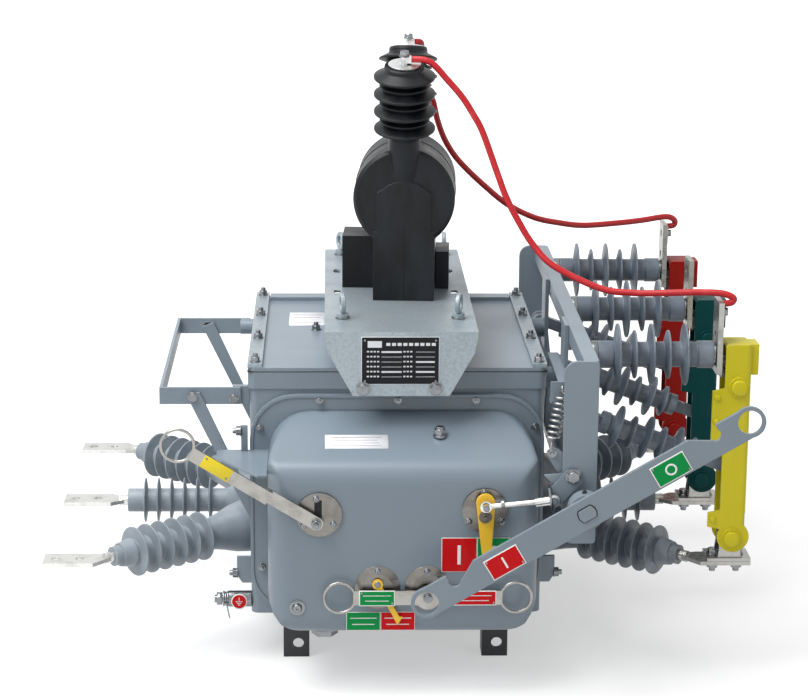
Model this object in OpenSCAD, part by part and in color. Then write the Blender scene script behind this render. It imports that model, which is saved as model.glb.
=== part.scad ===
// Pole-mounted vacuum circuit breaker with its isolator and voltage transformer.
// Millimetres. X runs along the bushings, Y from the operator's side to the back, Z up from the feet.

/* [Tank] */
// Length of the tank between its bushing walls
tank_w = 452; // [420:1:500]
// Depth of the tank from front to back
tank_d = 496; // [470:1:560]
// Height of the tank's own walls
tank_h = 385; // [360:1:430]
// Height of the feet under the tank
foot_h = 75; // [60:1:110]
// Height of the thick rim band around the top of the tank
rim_h = 27; // [18:1:36]
// How far the rim band stands out from the walls
rim_out = 3; // [2:0.5:5]
// Radius of the tank's upright corners
tank_r = 12; // [8:1:20]
// Diameter of the bolt hole in each foot
foot_hole = 17; // [13:1:18]
// Thickness of the top cover plate
cover_t = 6; // [4:1:8]
// Width of each clamping strip on the top cover
strip_w = 22; // [18:1:28]

/* [Mechanism] */
// Width of the mechanism cover
mech_w = 400; // [360:1:408]
// How far the mechanism cover stands out from its flange
mech_d = 136; // [120:1:150]
// Height of the mechanism cover where it meets its flange
mech_h = 310; // [290:1:316]
// How far the mechanism cover is set off to the right
mech_x = 6; // [0:1:10]
// Thickness of the plate and of the lever bars on the cover
bar_t = 4; // [3:0.5:6]

/* [Phases] */
// Distance from one phase to the next
phase_gap = 300; // [280:1:320]
// Height of the lower bushings above the feet
bushing_z = 180; // [165:1:200]
// Distance from the middle of the tank to the end of a lower terminal
terminal_reach = 533; // [525:1:550]
// Thickness of a terminal pad
pad_t = 6; // [5:1:8]
// Width of a terminal pad
pad_w = 48; // [40:1:52]
// Distance between the two bolt holes of a terminal pad
pad_pitch = 36; // [34:1:40]
// Diameter of the bolt holes in a terminal pad
pad_hole = 13; // [11:1:14]

/* [Isolator] */
// Height of the isolator frame's top edge above its shaft
frame_up = 211; // [205:1:225]
// Height of the isolator frame below its shaft
frame_down = 63; // [58:1:72]
// Width of the isolator frame's end plates
frame_w = 50; // [46:1:58]
// Height of the isolator shaft above the feet
shaft_z = 308; // [304:1:312]
// Diameter of the isolator shaft
shaft_d = 26; // [22:1:28]
// Length of the crank arms
crank_l = 104; // [98:1:108]
// Height of the blade pivots above the feet
pivot_z = 221; // [218:1:224]
// Distance between the eyes of the main handle
handle_span = 532; // [500:1:560]
// Width of the main handle
handle_w = 44; // [38:1:46]

/* [Transformer] */
// Height of the transformer bracket's top above the top cover
bracket_up = 69; // [60:1:80]
// Width of the transformer bracket
bracket_w = 228; // [210:1:240]
// How far the bracket's skirts stand off the tank's rim
bracket_off = 56; // [45:1:65]
// Radius of the transformer's round body
body_r = 79; // [70:1:85]
// Length of the transformer's body from front to back
body_l = 184; // [170:1:200]
// Height of the middle of the round body above its bracket
body_up = 160; // [150:1:170]
// Lean of the high-voltage bushings from upright
lean = 13.4; // [10:0.1:16]

/* [Hidden] */

$fn = 48;
eps = 0.01;
// Gap between pieces that lie against each other but aren't joined
seat = 0.3;

// Tank levels
tank_z = foot_h;
rim_z = foot_h + tank_h;
lid_z = rim_z + cover_t;
wall_x = tank_w / 2 - rim_out;
front_y = -tank_d / 2;

lug_z = tank_z + 46;
lug_h = 42;
lug_t = 6;

// Mechanism cover
flange_t = 8;
flange_w = tank_w - 6;
flange_z0 = tank_z + 5;
flange_h = tank_h - rim_h - 12;
flange_y = front_y - flange_t;
guard_z = tank_z + 261;
guard_x = -tank_w / 2 - 46;
mech_z0 = tank_z + 17;
mech_y = flange_y - mech_d;
face_y = mech_y - seat;

// Phases and the isolator
phases = [-phase_gap, 0, phase_gap];
shaft_x = tank_w / 2 + 40.5;
pivot_x = terminal_reach - 32;
rail_x1 = shaft_x + 18.5;
rail_x0 = rail_x1 - 22;
rail_t = 4;
frame_top = shaft_z + frame_up;
frame_bottom = shaft_z - frame_down;
frame_y = phase_gap + 120;
pad_l = 66;
plate_t = 6;
post_z = frame_top - 19;
post_x = rail_x1 + 10;
post_end = pivot_x - 35;
post_l = post_end - post_x;
upper_x = post_end + 4;
cover_x1 = pivot_x + 21.5;
boss_z = post_z - 44;
bore_gap = 0.5;
pivot_r = 6;
rod_pin_r = 5;
lock_r = 5;
support_x = rail_x0 - seat - 6;
support_y = 165;
tube_z = rim_z - 30;
shelf_z = frame_top - 66;
shelf_y1 = -100;
spring_r = 11;
upper_t = 8;
swing_closed = 92;
pin_dx = crank_l * cos(swing_closed);
pin_dz = crank_l * sin(swing_closed);
rod_angle = atan2(pivot_z - shaft_z, pivot_x - shaft_x);
rod_len = norm([pivot_x - shaft_x, pivot_z - shaft_z]);
handle_angle = 30.6;
handle_t = 6;
handle_y = -frame_y - 54;
hub_r = 26;
hub_l = 26;
mid_y = (handle_y - 3 + frame_y + 10) / 2;

// Transformer
bracket_z = lid_z + bracket_up;
bracket_y = tank_d / 2 + bracket_off;
bracket_t = 4;
bracket_x = 4;
body_x = 18;
body_turn = 3.3;
body_z = bracket_z + body_up;

// Points of an arc from angle a0 to a1 about c
function arc(c, r, a0, a1, n = 6) =
    [for (i = [0:n]) let (a = a0 + (a1 - a0) * i / n) [c[0] + r * cos(a), c[1] + r * sin(a)]];

// Outline of a rectangle with round corners, from its lower left corner
function round_box(x, y, w, h, r) = concat(
    arc([x + w - r, y + r], r, -90, 0),
    arc([x + w - r, y + h - r], r, 0, 90),
    arc([x + r, y + h - r], r, 90, 180),
    arc([x + r, y + r], r, 180, 270));

// A flat piece in the upright X-Z plane, from y to y + t
module upright(points, y, t) {
    translate([0, y + t, 0])
        rotate([90, 0, 0])
            linear_extrude(height = t)
                polygon(points);
}

// A straight round bar from one point to another
module bar(a, b, r) {
    v = b - a;
    translate(a)
        rotate([0, acos(v[2] / norm(v)), atan2(v[1], v[0])])
            cylinder(r = r, h = norm(v));
}

// A cylinder along Y
module pin_y(x, y, z, r, l) {
    translate([x, y, z])
        rotate([-90, 0, 0])
            cylinder(r = r, h = l);
}

// A cylinder along X
module pin_x(x, y, z, r, l) {
    translate([x, y, z])
        rotate([0, 90, 0])
            cylinder(r = r, h = l);
}

// Profile of an insulator: thick ends and a core, with sheds whose radii are listed from the foot up.
// The sheds are spread evenly from first to the length less last.
function shed_points(r, core, z, t) = [[core, z - t], [r, z - t / 5], [r, z + t / 5], [core, z + t * 0.7]];

module insulator(l, core, end_r, end_l, sheds, first, last, t) {
    pitch = (l - first - last) / (len(sheds) - 1);
    rotate_extrude()
        polygon(concat(
            [[0, 0], [end_r, 0], [end_r, end_l], [core, end_l + 2]],
            [for (i = [0:len(sheds) - 1]) each shed_points(sheds[i], core, first + i * pitch, t)],
            [[core, l - end_l - 2], [end_r, l - end_l], [end_r, l], [0, l]]));
}

// ---- Tank ----

module tank() {
    color("slategray") {
        translate([0, 0, tank_z])
            linear_extrude(height = tank_h)
                polygon(round_box(-wall_x, front_y + rim_out, 2 * wall_x, tank_d - 2 * rim_out, tank_r));
        translate([0, 0, rim_z - rim_h])
            linear_extrude(height = rim_h)
                polygon(round_box(-tank_w / 2, front_y, tank_w, tank_d, tank_r));
        // Lugs low on both side walls
        for (side = [-1, 1])
            scale([side, 1, 1])
                upright([[wall_x - 1, lug_z], [wall_x + 14, lug_z], [wall_x + 22, lug_z + 12],
                    [wall_x + 22, lug_z + lug_h], [wall_x - 1, lug_z + lug_h]], front_y + 12, lug_t);
    }
}

module top_cover() {
    ridge_y = tank_d / 2 - 44;
    color("lightsteelblue")
        union() {
            translate([0, 0, rim_z])
                linear_extrude(height = cover_t)
                    polygon(round_box(-tank_w / 2, front_y, tank_w, tank_d, tank_r));
            translate([-tank_w / 2 + strip_w + 2, ridge_y, lid_z - eps])
                cube([tank_w - 2 * strip_w - 4, 30, 7]);
        }
}

module cover_strips() {
    color("lightgray")
        for (side = [-1, 1])
            translate([side * (tank_w - strip_w) / 2 - strip_w / 2, front_y + 1, lid_z])
                cube([strip_w, tank_d - 2, cover_t]);
}

// Four angle feet, each with a hole for the bolt that holds it to a pole bracket
module feet() {
    foot_w = 40;
    foot_t = 6;
    foot_x = 154;
    foot_y = tank_d / 2 - 16;
    hole_z = 22;
    color("dimgray")
        for (side = [0, 1])
            mirror([0, side, 0])
                for (x = [-foot_x, foot_x])
                    difference() {
                        union() {
                            translate([x - foot_w / 2, foot_y, 0])
                                cube([foot_w, foot_t, foot_h - seat]);
                            translate([x - foot_w / 2, foot_y - foot_w + foot_t, 0])
                                cube([foot_t, foot_w, foot_h - seat]);
                        }
                        pin_y(x + 3, foot_y - 1, hole_z, foot_hole / 2, foot_t + 2);
                    }
}

// ---- Mechanism housing on the front of the tank ----

module cover_flange() {
    rim = 5;
    corner = 68;
    left = mech_x - mech_w / 2;
    x0 = -flange_w / 2;
    outline = round_box(x0, flange_z0, flange_w, flange_h, corner);
    panel = round_box(x0 + rim, flange_z0 + rim, flange_w - 2 * rim, flange_h - 2 * rim, corner - rim);
    color("slategray")
        union() {
            upright(outline, flange_y + 2, flange_t - 2 + rim_out);
            difference() {
                upright(outline, flange_y, 3);
                upright(panel, flange_y - 1, 5);
            }
            // Guard plate beside the cover, under the charging handle
            translate([0, 0, guard_z])
                linear_extrude(height = 4)
                    polygon([[left - seat, flange_y + 2], [guard_x, flange_y + 2], [guard_x, flange_y - 34],
                        [guard_x + 6, flange_y - 44], [left - 14, mech_y + 4], [left - seat, mech_y + 4]]);
        }
}

module mechanism_cover() {
    x0 = mech_x - mech_w / 2;
    top = mech_z0 + mech_h;
    drop = 48;
    side_profile = concat(
        [[flange_y + 2, mech_z0], [flange_y + 2, top]],
        [[flange_y - 6, top]],
        arc([mech_y + 34, top - drop - 28], 34, 110, 180, 8),
        arc([mech_y + 30, mech_z0 + 30], 30, 180, 270, 8));
    plan_profile = concat(
        [[x0 + mech_w, flange_y + 2], [x0, flange_y + 2]],
        arc([x0 + 34, mech_y + 34], 34, 180, 270, 8),
        arc([x0 + mech_w - 34, mech_y + 34], 34, 270, 360, 8));
    color("lightslategray")
        intersection() {
            upright(round_box(x0, mech_z0, mech_w, mech_h, 62), mech_y - 1, mech_d + 5);
            translate([x0 - 1, 0, 0])
                rotate([90, 0, 90])
                    linear_extrude(height = mech_w + 2)
                        polygon(side_profile);
            translate([0, 0, mech_z0 - 1])
                linear_extrude(height = mech_h + 2)
                    polygon(plan_profile);
        }
}

// Levels on the front face
charge_x = -118;
charge_z = 282;
pointer_x = 125;
pointer_z = 288;
trip_x = 42;
trip_z = 157;
energy_x = -32;
energy_z = 176;
dome_z = 168;
disc_r = 33.5;
disc_t = 4;
dome_h = 5;
lever_y = face_y - disc_t - 7;
handle_px = charge_x - 4;
handle_pz = charge_z - 10;
pointer_pz = pointer_z - 6;
lever_pin_z = pointer_pz + 19;

// A shallow domed cover on the front face
module dome(x, z) {
    translate([x, face_y, z])
        rotate([90, 0, 0])
            cylinder(r1 = disc_r, r2 = disc_r - 11, h = dome_h);
}

module mechanism_discs() {
    color("silver") {
        pin_y(charge_x, face_y - disc_t, charge_z, disc_r, disc_t);
        pin_y(pointer_x, face_y - disc_t, pointer_z, disc_r, disc_t);
        dome(energy_x, dome_z);
        dome(trip_x, dome_z);
    }
}

// A bar end: a round wire ring lying in the X-Z plane
module pull_ring(x, y, z, r, wire) {
    translate([x, y, z])
        rotate([90, 0, 0])
            rotate_extrude()
                translate([r, 0])
                    circle(r = wire, $fn = 16);
}

module charging_handle() {
    dir = [-0.853, 0.522];
    len1 = 88;
    len2 = 216;
    half = 10;
    jog = 12;
    ring = 24;
    color("silver") {
        translate([handle_px, lever_y, handle_pz])
            rotate([0, atan2(-dir[1], dir[0]), 0])
                union() {
                    translate([0, -bar_t, -half])
                        cube([len1, bar_t, 2 * half]);
                    rotate([90, 0, 0])
                        cylinder(r = half, h = bar_t);
                    translate([len1 - 8, -bar_t - jog, -half])
                        cube([bar_t + 4, jog + eps, 2 * half]);
                    translate([len1 - 8, -bar_t - jog, -half])
                        cube([len2 - len1 + 4, bar_t, 2 * half]);
                }
        pin_y(handle_px, lever_y - eps, handle_pz, 7, 7 - seat + eps);
        pull_ring(handle_px + dir[0] * (len2 + ring - 6), lever_y - jog - bar_t / 2,
            handle_pz + dir[1] * (len2 + ring - 6), ring, bar_t / 2 + 0.2);
    }
}

module trip_lever() {
    half = 110;
    ring = 23;
    color("silver") {
        translate([trip_x - half, lever_y - bar_t, trip_z - 11])
            cube([2 * half, bar_t, 22]);
        pin_y(trip_x, lever_y - bar_t - 0.5, trip_z, 18, bar_t + 1);
        pin_y(trip_x, lever_y - eps, trip_z, 8, disc_t + 7 - dome_h - seat + eps);
        for (side = [-1, 1])
            pull_ring(trip_x + side * (half + ring - 3), lever_y - bar_t / 2, trip_z, ring, bar_t / 2 + 0.3);
    }
}

module position_pointer() {
    color("gold") {
        upright(concat(
            arc([pointer_x, lever_pin_z + 2], 14, 0, 180, 8),
            [[pointer_x - 3, pointer_z - 75], [pointer_x + 9, pointer_z - 75]]),
            lever_y - bar_t, bar_t);
        pin_y(pointer_x, lever_y - eps, pointer_pz, 7, 7 - seat + eps);
        pin_y(pointer_x, rod_y0 - 5, lever_pin_z, 4, lever_y - rod_y0 + 3);
    }
}

module energy_pointer() {
    t = 3;
    y = face_y - dome_h - 2 - t;
    color("gold") {
        translate([energy_x, 0, energy_z])
            rotate([0, 61, 0])
                upright(concat(arc([0, 0], 8, 30, 330, 12), [[8, -4], [62, -4], [62, 4], [8, 4]]), y, t);
        pin_y(energy_x, y + t - eps, energy_z, 4, 2 - seat + eps);
    }
}

// The interlock: a bell crank on the isolator frame, pushed by the rod from the position pointer
lock_x = shaft_x - 16.5;
lock_z = shaft_z + 41;
lock_dx = -28;
lock_dz = -34;
lock_y = -frame_y - 5;
spring_dx = -30;
spring_dz = 32;
rod_y0 = lever_y - bar_t - 9;
rod_y1 = lock_y - 8;
spring_y = -frame_y + plate_t + 14;

module tie_rod() {
    x1 = lock_x + lock_dx;
    z1 = lock_z + lock_dz;
    color("silver")
        difference() {
            union() {
                bar([pointer_x + 6, rod_y0, lever_pin_z], [x1 - 5, rod_y1, z1], 3.8);
                bar([x1 - 26, rod_y1 + 3, z1 - 4], [x1 - 5, rod_y1, z1], 6.4);
                pin_y(pointer_x, rod_y0 - 4, lever_pin_z, 8.6, 8);
                pin_y(x1, rod_y1 - 4, z1, 9, 8);
            }
            pin_y(pointer_x, rod_y0 - 9, lever_pin_z, 4.1, 18);
            pin_y(x1, rod_y1 - 9, z1, 4.9, 18);
        }
}

module interlock_lever() {
    t = 4;
    x1 = lock_x + lock_dx;
    z1 = lock_z + lock_dz;
    x2 = lock_x + spring_dx;
    z2 = lock_z + spring_dz;
    color("slategray") {
        // Front arm
        upright([[x1 - 7, z1 - 4], [x1 + 2, z1 - 9], [x1 + 14, z1 - 5], [lock_x + 14, lock_z - 10],
            [lock_x + 11, lock_z + 9], [lock_x - 9, lock_z + 9], [x1 - 6, z1 + 14]], lock_y, t);
        pin_y(x1, rod_y1 - 7, z1, 4, lock_y - rod_y1 + 9);
        // Pivot through the frame plate
        pin_y(lock_x, lock_y + t - eps, lock_z, lock_r, plate_t + 3.5);
        // Rear arm
        upright([[lock_x + 10, lock_z - 8], [lock_x + 12, lock_z + 6], [x2 + 11, z2 + 4], [x2, z2 + 9],
            [x2 - 8, z2 + 1], [x2 - 4, z2 - 9], [lock_x - 12, lock_z - 14]], -frame_y + plate_t + 2, t);
        pin_y(x2, -frame_y + plate_t + 4, z2, 3, 12);
    }
}

// The spring between the interlock lever and its shelf, as a sleeve with a hook at each end
module return_spring() {
    x = lock_x + spring_dx;
    z = lock_z + spring_dz;
    low = [x, spring_y, z + 18];
    color("silver") {
        bar(low, [lock_x - 15, spring_y, shelf_z + 14], spring_r);
        bar([x, spring_y, z + 3 + seat], low + [0.5, 0, 4], 1.4);
    }
}

module earth_terminal() {
    y = front_y + 18;
    z = tank_z + 18;
    color("slategray") {
        pin_x(-wall_x - 35, y, z, 12.5, 35 - seat);
        pin_x(-wall_x - 57, y, z, 6, 23);
    }
}

module cable_connector() {
    x = -110;
    y = mech_y + 62;
    color("gray") {
        translate([x, y, mech_z0 - 5])
            cylinder(r = 32, h = 5 - seat);
        translate([x, y, mech_z0 - 18])
            cylinder(r = 20, h = 14, $fn = 6);
    }
}

// ---- Bushings and lower terminals ----

turret_r = 42;
turret_l = 21;
fan_root = 125;
tip_l = 12;
tip_r = 15;
core_r = 19;
bushing_l = terminal_reach - 103 - wall_x;
fan_run = terminal_reach - 102 - wall_x;
fan_rise = phase_gap - 18 - fan_root;
fan_angle = atan2(fan_rise, fan_run);
fan_l = norm([fan_run, fan_rise]);

// A straight bushing that stands on a turret; z = 0 at the tank wall
module straight_bushing() {
    l = bushing_l;
    first = 74;
    last = l - 28;
    shed_r = 36;
    rotate_extrude()
        polygon(concat(
            [[0, 0], [turret_r, 0], [turret_r, turret_l]],
            [[core_r + 9, turret_l + 12], [core_r, turret_l + 26]],
            [for (i = [0:5]) each shed_points(shed_r, core_r, first + i * (last - first) / 5, 4)],
            [[core_r, l], [0, l]]));
}

// A bushing with a horn-shaped root and a tapered end; z = 0 at the tank wall
module horn_bushing() {
    l = fan_l;
    shed_r = 38;
    first = 101;
    last = l - 40;
    root = [[0, -30], [turret_r, -30], [turret_r - 1, 16], [turret_r - 5, 38], [turret_r - 12, 60],
        [core_r + 5, 84]];
    rotate_extrude()
        polygon(concat(
            root,
            [for (i = [0:5]) each shed_points(shed_r, core_r + 2, first + i * (last - first) / 5, 5)],
            [[core_r + 3, last + 8], [core_r - 1, l - tip_l], [tip_r, l - tip_l], [tip_r, l], [0, l]]));
}

module bushing_side() {
    difference() {
        union() {
            translate([wall_x, 0, bushing_z])
                rotate([0, 90, 0])
                    straight_bushing();
            for (side = [-1, 1]) {
                pin_x(wall_x, side * fan_root, bushing_z, turret_r + 1, turret_l);
                translate([wall_x, side * fan_root, bushing_z])
                    rotate([0, 0, side * fan_angle])
                        rotate([0, 90, 0])
                            horn_bushing();
            }
        }
        translate([-tank_w, -tank_d, 0])
            cube([tank_w + wall_x + seat, 2 * tank_d, 600]);
    }
}

// Three bushings on the line side and three on the load side
module bushings() {
    color("dimgray")
        for (side = [0, 1])
            mirror([side, 0, 0])
                bushing_side();
}

// A flat pad with its neck, from the end of a bushing at [x, y] to the terminal's tip
module terminal(x, y, side, dir) {
    pad_x = terminal_reach - pad_l - 10;
    across = [-dir[1], dir[0]];
    difference() {
        union() {
            translate([pad_x, side * phase_gap - pad_w / 2, bushing_z - pad_t / 2])
                cube([terminal_reach - pad_x, pad_w, pad_t]);
            translate([0, 0, bushing_z - pad_t / 2])
                linear_extrude(height = pad_t)
                    polygon([
                        [pad_x + 1, side * phase_gap - pad_w / 2],
                        [pad_x + 1, side * phase_gap + pad_w / 2],
                        [x, y] + 6 * dir + 8 * across,
                        [x, y] + 6 * dir - 8 * across]);
            bar([x, y, bushing_z], [x + 14 * dir[0], y + 14 * dir[1], bushing_z], 8.5);
        }
        for (i = [0, 1])
            translate([terminal_reach - 18 - i * pad_pitch, side * phase_gap, bushing_z - pad_t])
                cylinder(d = pad_hole, h = 2 * pad_t);
    }
}

module terminal_set() {
    run = (fan_l + seat) * cos(fan_angle);
    rise = (fan_l + seat) * sin(fan_angle);
    color("lightgray") {
        terminal(wall_x + bushing_l + seat, 0, 0, [1, 0]);
        for (side = [-1, 1])
            terminal(wall_x + run, side * (fan_root + rise), side, [cos(fan_angle), side * sin(fan_angle)]);
    }
}

module load_terminals() {
    terminal_set();
}

module line_terminals() {
    mirror([1, 0, 0])
        terminal_set();
}

// ---- Bracket for an arrester on the left wall ----

arm_y = 228;
arm_z = 418;
arm_x = 360;

module side_frame() {
    arm_h = 26;
    t = 5;
    x1 = wall_x + seat;
    color("slategray") {
        for (side = [-1, 1])
            translate([-arm_x, side * arm_y - t / 2, arm_z - arm_h / 2])
                cube([arm_x - wall_x - 14, t, arm_h]);
        translate([-arm_x, -arm_y, arm_z - arm_h / 2])
            cube([t, 2 * arm_y, arm_h]);
        pin_x(-x1 - 30, arm_y - 6, arm_z, 13, 30);
        // Clevis block behind the front arm
        translate([-x1 - 26, -arm_y + t / 2 - eps, arm_z - 14])
            cube([26, 10, 28]);
    }
}

module side_frame_braces() {
    t = 5;
    x1 = wall_x + seat;
    color("slategray")
        for (y = [-arm_y - 2.5 - t - seat, arm_y - 2.5 - t - seat])
            upright([[-318, arm_z], [-299, arm_z + 7], [-x1, 258], [-x1, 222]], y, t);
}

// ---- Voltage transformer ----

module transformer_bracket() {
    skirt_h = 98;
    spacer_r = 9;
    top_l = bracket_x - bracket_w / 2;
    top_r = bracket_x + bracket_w / 2;
    slot_w = 11;
    skirt = [[top_l, bracket_z - bracket_t], [top_r, bracket_z - bracket_t], [top_r - 5, bracket_z - 32],
        [bracket_x + 72, bracket_z - skirt_h], [bracket_x - 72, bracket_z - skirt_h],
        [top_l + 5, bracket_z - 32]];
    color("lightgray") {
        difference() {
            translate([top_l, -bracket_y, bracket_z - bracket_t])
                cube([bracket_w, 2 * bracket_y, bracket_t]);
            // Spare slots beside the transformer
            for (x = [bracket_x - 94, bracket_x + 91])
                for (y = [-33, 126])
                    for (dy = [-9:3:9])
                        translate([x, y + dy, bracket_z - bracket_t - 1])
                            cylinder(d = slot_w, h = bracket_t + 2);
        }
        for (y = [-bracket_y, bracket_y - bracket_t])
            upright(skirt, y, bracket_t);
        for (side = [-1, 1])
            for (x = [-54, 54])
                pin_y(bracket_x + x, side > 0 ? tank_d / 2 + seat : -bracket_y + bracket_t - eps,
                    rim_z - 12, spacer_r, bracket_off - bracket_t - seat + eps);
    }
}

// Eye bolts, each a ring on a short shank
module lifting_eyes() {
    eye_r = 12.5;
    wire = 3.5;
    flat = 2.2;
    shank = 8;
    // Section of the ring, with a short straight wall inside and outside
    ring = [[eye_r - wire, -flat], [eye_r - flat, -wire], [eye_r + flat, -wire], [eye_r + wire, -flat],
        [eye_r + wire, flat], [eye_r + flat, wire], [eye_r - flat, wire], [eye_r - wire, flat]];
    color("lightgray")
        for (p = [[-83, -214, 8], [93, -214, -14], [-83, 262, 20], [93, 262, 0]])
            translate([p[0], p[1], bracket_z + seat]) {
                cylinder(r = 9, h = shank);
                translate([0, 0, shank - 2])
                    cylinder(r = wire + 1, h = 6);
                translate([0, 0, shank + eye_r + 2])
                    rotate([0, 0, p[2]])
                        rotate([0, 90, 0])
                            rotate_extrude()
                                polygon(ring);
            }
}

module turned() {
    translate([body_x, 0, 0])
        rotate([0, 0, -body_turn])
            children();
}

hv_root_y = 78;
hv_root_z = 58;
hv_l = 153;
cap_t = 6;
clamp_l = 10;

// Height of the lead's end above the bracket side of the cap, and its place beside the cap
cap_y = hv_root_y + (hv_l + cap_t) * sin(lean);
cap_z = body_z + hv_root_z + (hv_l + cap_t) * cos(lean);
function lead_x(side) = body_x + side * cap_y * sin(body_turn) + clamp_l + seat;

// A bushing of large and small sheds in turn on a smooth neck
module hv_bushing() {
    pitch = 28;
    first = 55;
    translate([0, hv_root_y, body_z + hv_root_z])
        rotate([-lean, 0, 0])
            rotate_extrude()
                polygon(concat(
                    [[0, -30], [25, -30], [25, first - 16]],
                    [for (i = [0:3]) let (z = first + pitch * i) each
                        [[29, z - 8], [47, z - 2], [47, z + 1], [33, z + 8], [31, z + 10],
                        [i < 3 ? 38.5 : 31, z + 12.5], [i < 3 ? 38.5 : 31, z + 14.5], [30, z + 18]]],
                    [[30, hv_l], [0, hv_l]]));
}

// The epoxy casting: drum, pedestal with an arched panel on each face, and both bushings
module transformer_body() {
    foot_w = 95;
    panel_w = 84;
    color("darkslategray")
        turned()
            union() {
                translate([0, -body_l / 2, body_z])
                    rotate([-90, 0, 0])
                        rotate_extrude($fn = 96)
                            polygon([[0, 0], [body_r - 5, 0], [body_r, 5], [body_r, body_l - 5],
                                [body_r - 5, body_l], [0, body_l]]);
                translate([-foot_w / 2, -body_l / 2 - 4, bracket_z + seat])
                    cube([foot_w, body_l + 8, body_up - body_r + 28]);
                upright(concat(
                    [[-panel_w / 2, bracket_z + 60], [panel_w / 2, bracket_z + 60]],
                    [[panel_w / 2, body_z + 10]],
                    arc([0, body_z - 22], 50, 50, 130, 8),
                    [[-panel_w / 2, body_z + 10]]), -body_l / 2 - 4, body_l + 8);
                for (side = [0, 1])
                    mirror([0, side, 0])
                        hv_bushing();
            }
}

module transformer_terminal_box() {
    color("darkslategray")
        turned() {
            translate([-100, -5, bracket_z + seat])
                cube([51.7, 76, 84]);
            translate([48.3, -5, bracket_z + seat])
                cube([21.5, 76, 60]);
        }
}

module transformer_caps() {
    block = 11;
    stud_r = 5;
    color("lightgray") {
        turned()
            for (side = [0, 1])
                mirror([0, side, 0])
                    translate([0, hv_root_y, body_z + hv_root_z])
                        rotate([-lean, 0, 0])
                            translate([0, 0, hv_l + seat]) {
                                cylinder(r = 25, h = cap_t - seat);
                                cylinder(r = stud_r, h = cap_t + 15);
                            }
        // The block that holds the end of each lead
        for (side = [-1, 1])
            translate([lead_x(side) - seat - clamp_l - 2, side * cap_y - block / 2, cap_z + 1])
                cube([clamp_l + 2, block, block]);
    }
}

// ---- Isolator ----

// The two rails of the isolator frame run along Y between its end plates
module isolator_frame() {
    leg = 26;
    rail_y = frame_y - plate_t + eps;
    plate = concat(
        arc([rail_x1 - 5, frame_bottom + 5], 5, -90, 0),
        arc([rail_x1 - 5, frame_top - 5], 5, 0, 90),
        arc([rail_x1 - frame_w + 18, frame_top - 18], 18, 90, 180),
        arc([rail_x1 - frame_w + 18, frame_bottom + 18], 18, 180, 270));
    color("slategray")
        difference() {
            union() {
                // Upper rail: a channel open downward with a deep outer leg
                translate([rail_x0, -rail_y, frame_top - rail_t])
                    cube([rail_x1 - rail_x0, 2 * rail_y, rail_t]);
                translate([rail_x0, -rail_y, frame_top - leg])
                    cube([rail_t, 2 * rail_y, leg]);
                translate([rail_x1 - rail_t, -rail_y, frame_top - 2 * leg])
                    cube([rail_t, 2 * rail_y, 2 * leg]);
                // Lower rail: a channel open upward
                translate([rail_x0, -rail_y, frame_bottom])
                    cube([rail_x1 - rail_x0, 2 * rail_y, rail_t]);
                for (x = [rail_x0, rail_x1 - rail_t])
                    translate([x, -rail_y, frame_bottom])
                        cube([rail_t, 2 * rail_y, leg]);
                for (y = [-frame_y, frame_y - plate_t])
                    upright(plate, y, plate_t);
            }
            pin_y(shaft_x, -frame_y - 1, shaft_z, shaft_d / 2 + bore_gap, 2 * frame_y + 2);
            pin_y(lock_x, -frame_y - 1, lock_z, lock_r + bore_gap, plate_t + 2);
        }
}

// The shelf behind the front end plate, and the lug that the spring hangs from
module spring_shelf() {
    t = 4;
    right = rail_x0 - seat;
    lug_y = spring_y + spring_r + seat;
    color("slategray") {
        translate([0, 0, shelf_z - t])
            linear_extrude(height = t)
                polygon([[lock_x - 10, shelf_y1], [support_x - seat, shelf_y1],
                    [support_x - seat, -support_y - 31], [right, -support_y - 31], [right, lug_y],
                    [lock_x - 32, lug_y], [lock_x - 32, lug_y + 14], [lock_x - 10, lug_y + 26]]);
        translate([lock_x - 32, lug_y, shelf_z - t])
            cube([22, 3, 32]);
    }
}

module frame_supports() {
    low = 30;
    half = 30;
    color("slategray")
        for (y = [-support_y, support_y]) {
            pin_x(tank_w / 2 + seat, y, tube_z, 16, support_x - tank_w / 2 - seat + eps);
            translate([support_x, y - half, tube_z - low])
                cube([plate_t, 2 * half, frame_top - tube_z + low]);
        }
}

module post_insulators() {
    color("lightslategray")
        for (y = phases) {
            pin_x(rail_x1 + seat, y, post_z, 12, post_x - rail_x1);
            translate([post_x, y, post_z])
                rotate([0, 90, 0])
                    insulator(post_l, 19, 20.5, 22, [46, 36, 46, 36, 46], 30, 41, 6);
        }
}

module upper_terminals() {
    drop = 26;
    rise = 83;
    color("lightgray")
        for (y = phases)
            difference() {
                union() {
                    translate([upper_x, y - pad_w / 2, post_z - drop])
                        cube([upper_t, pad_w, drop + rise]);
                    pin_x(post_end + seat, y, post_z, 12, 4);
                    // Fixed contact that stands between the blade's two bars
                    translate([upper_x + upper_t - eps, y - 6, post_z - 34])
                        cube([34, 12, 34]);
                }
                for (i = [0, 1])
                    pin_x(upper_x - 5, y, post_z + rise - 18 - i * pad_pitch, pad_hole / 2, 20);
            }
}

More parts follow.
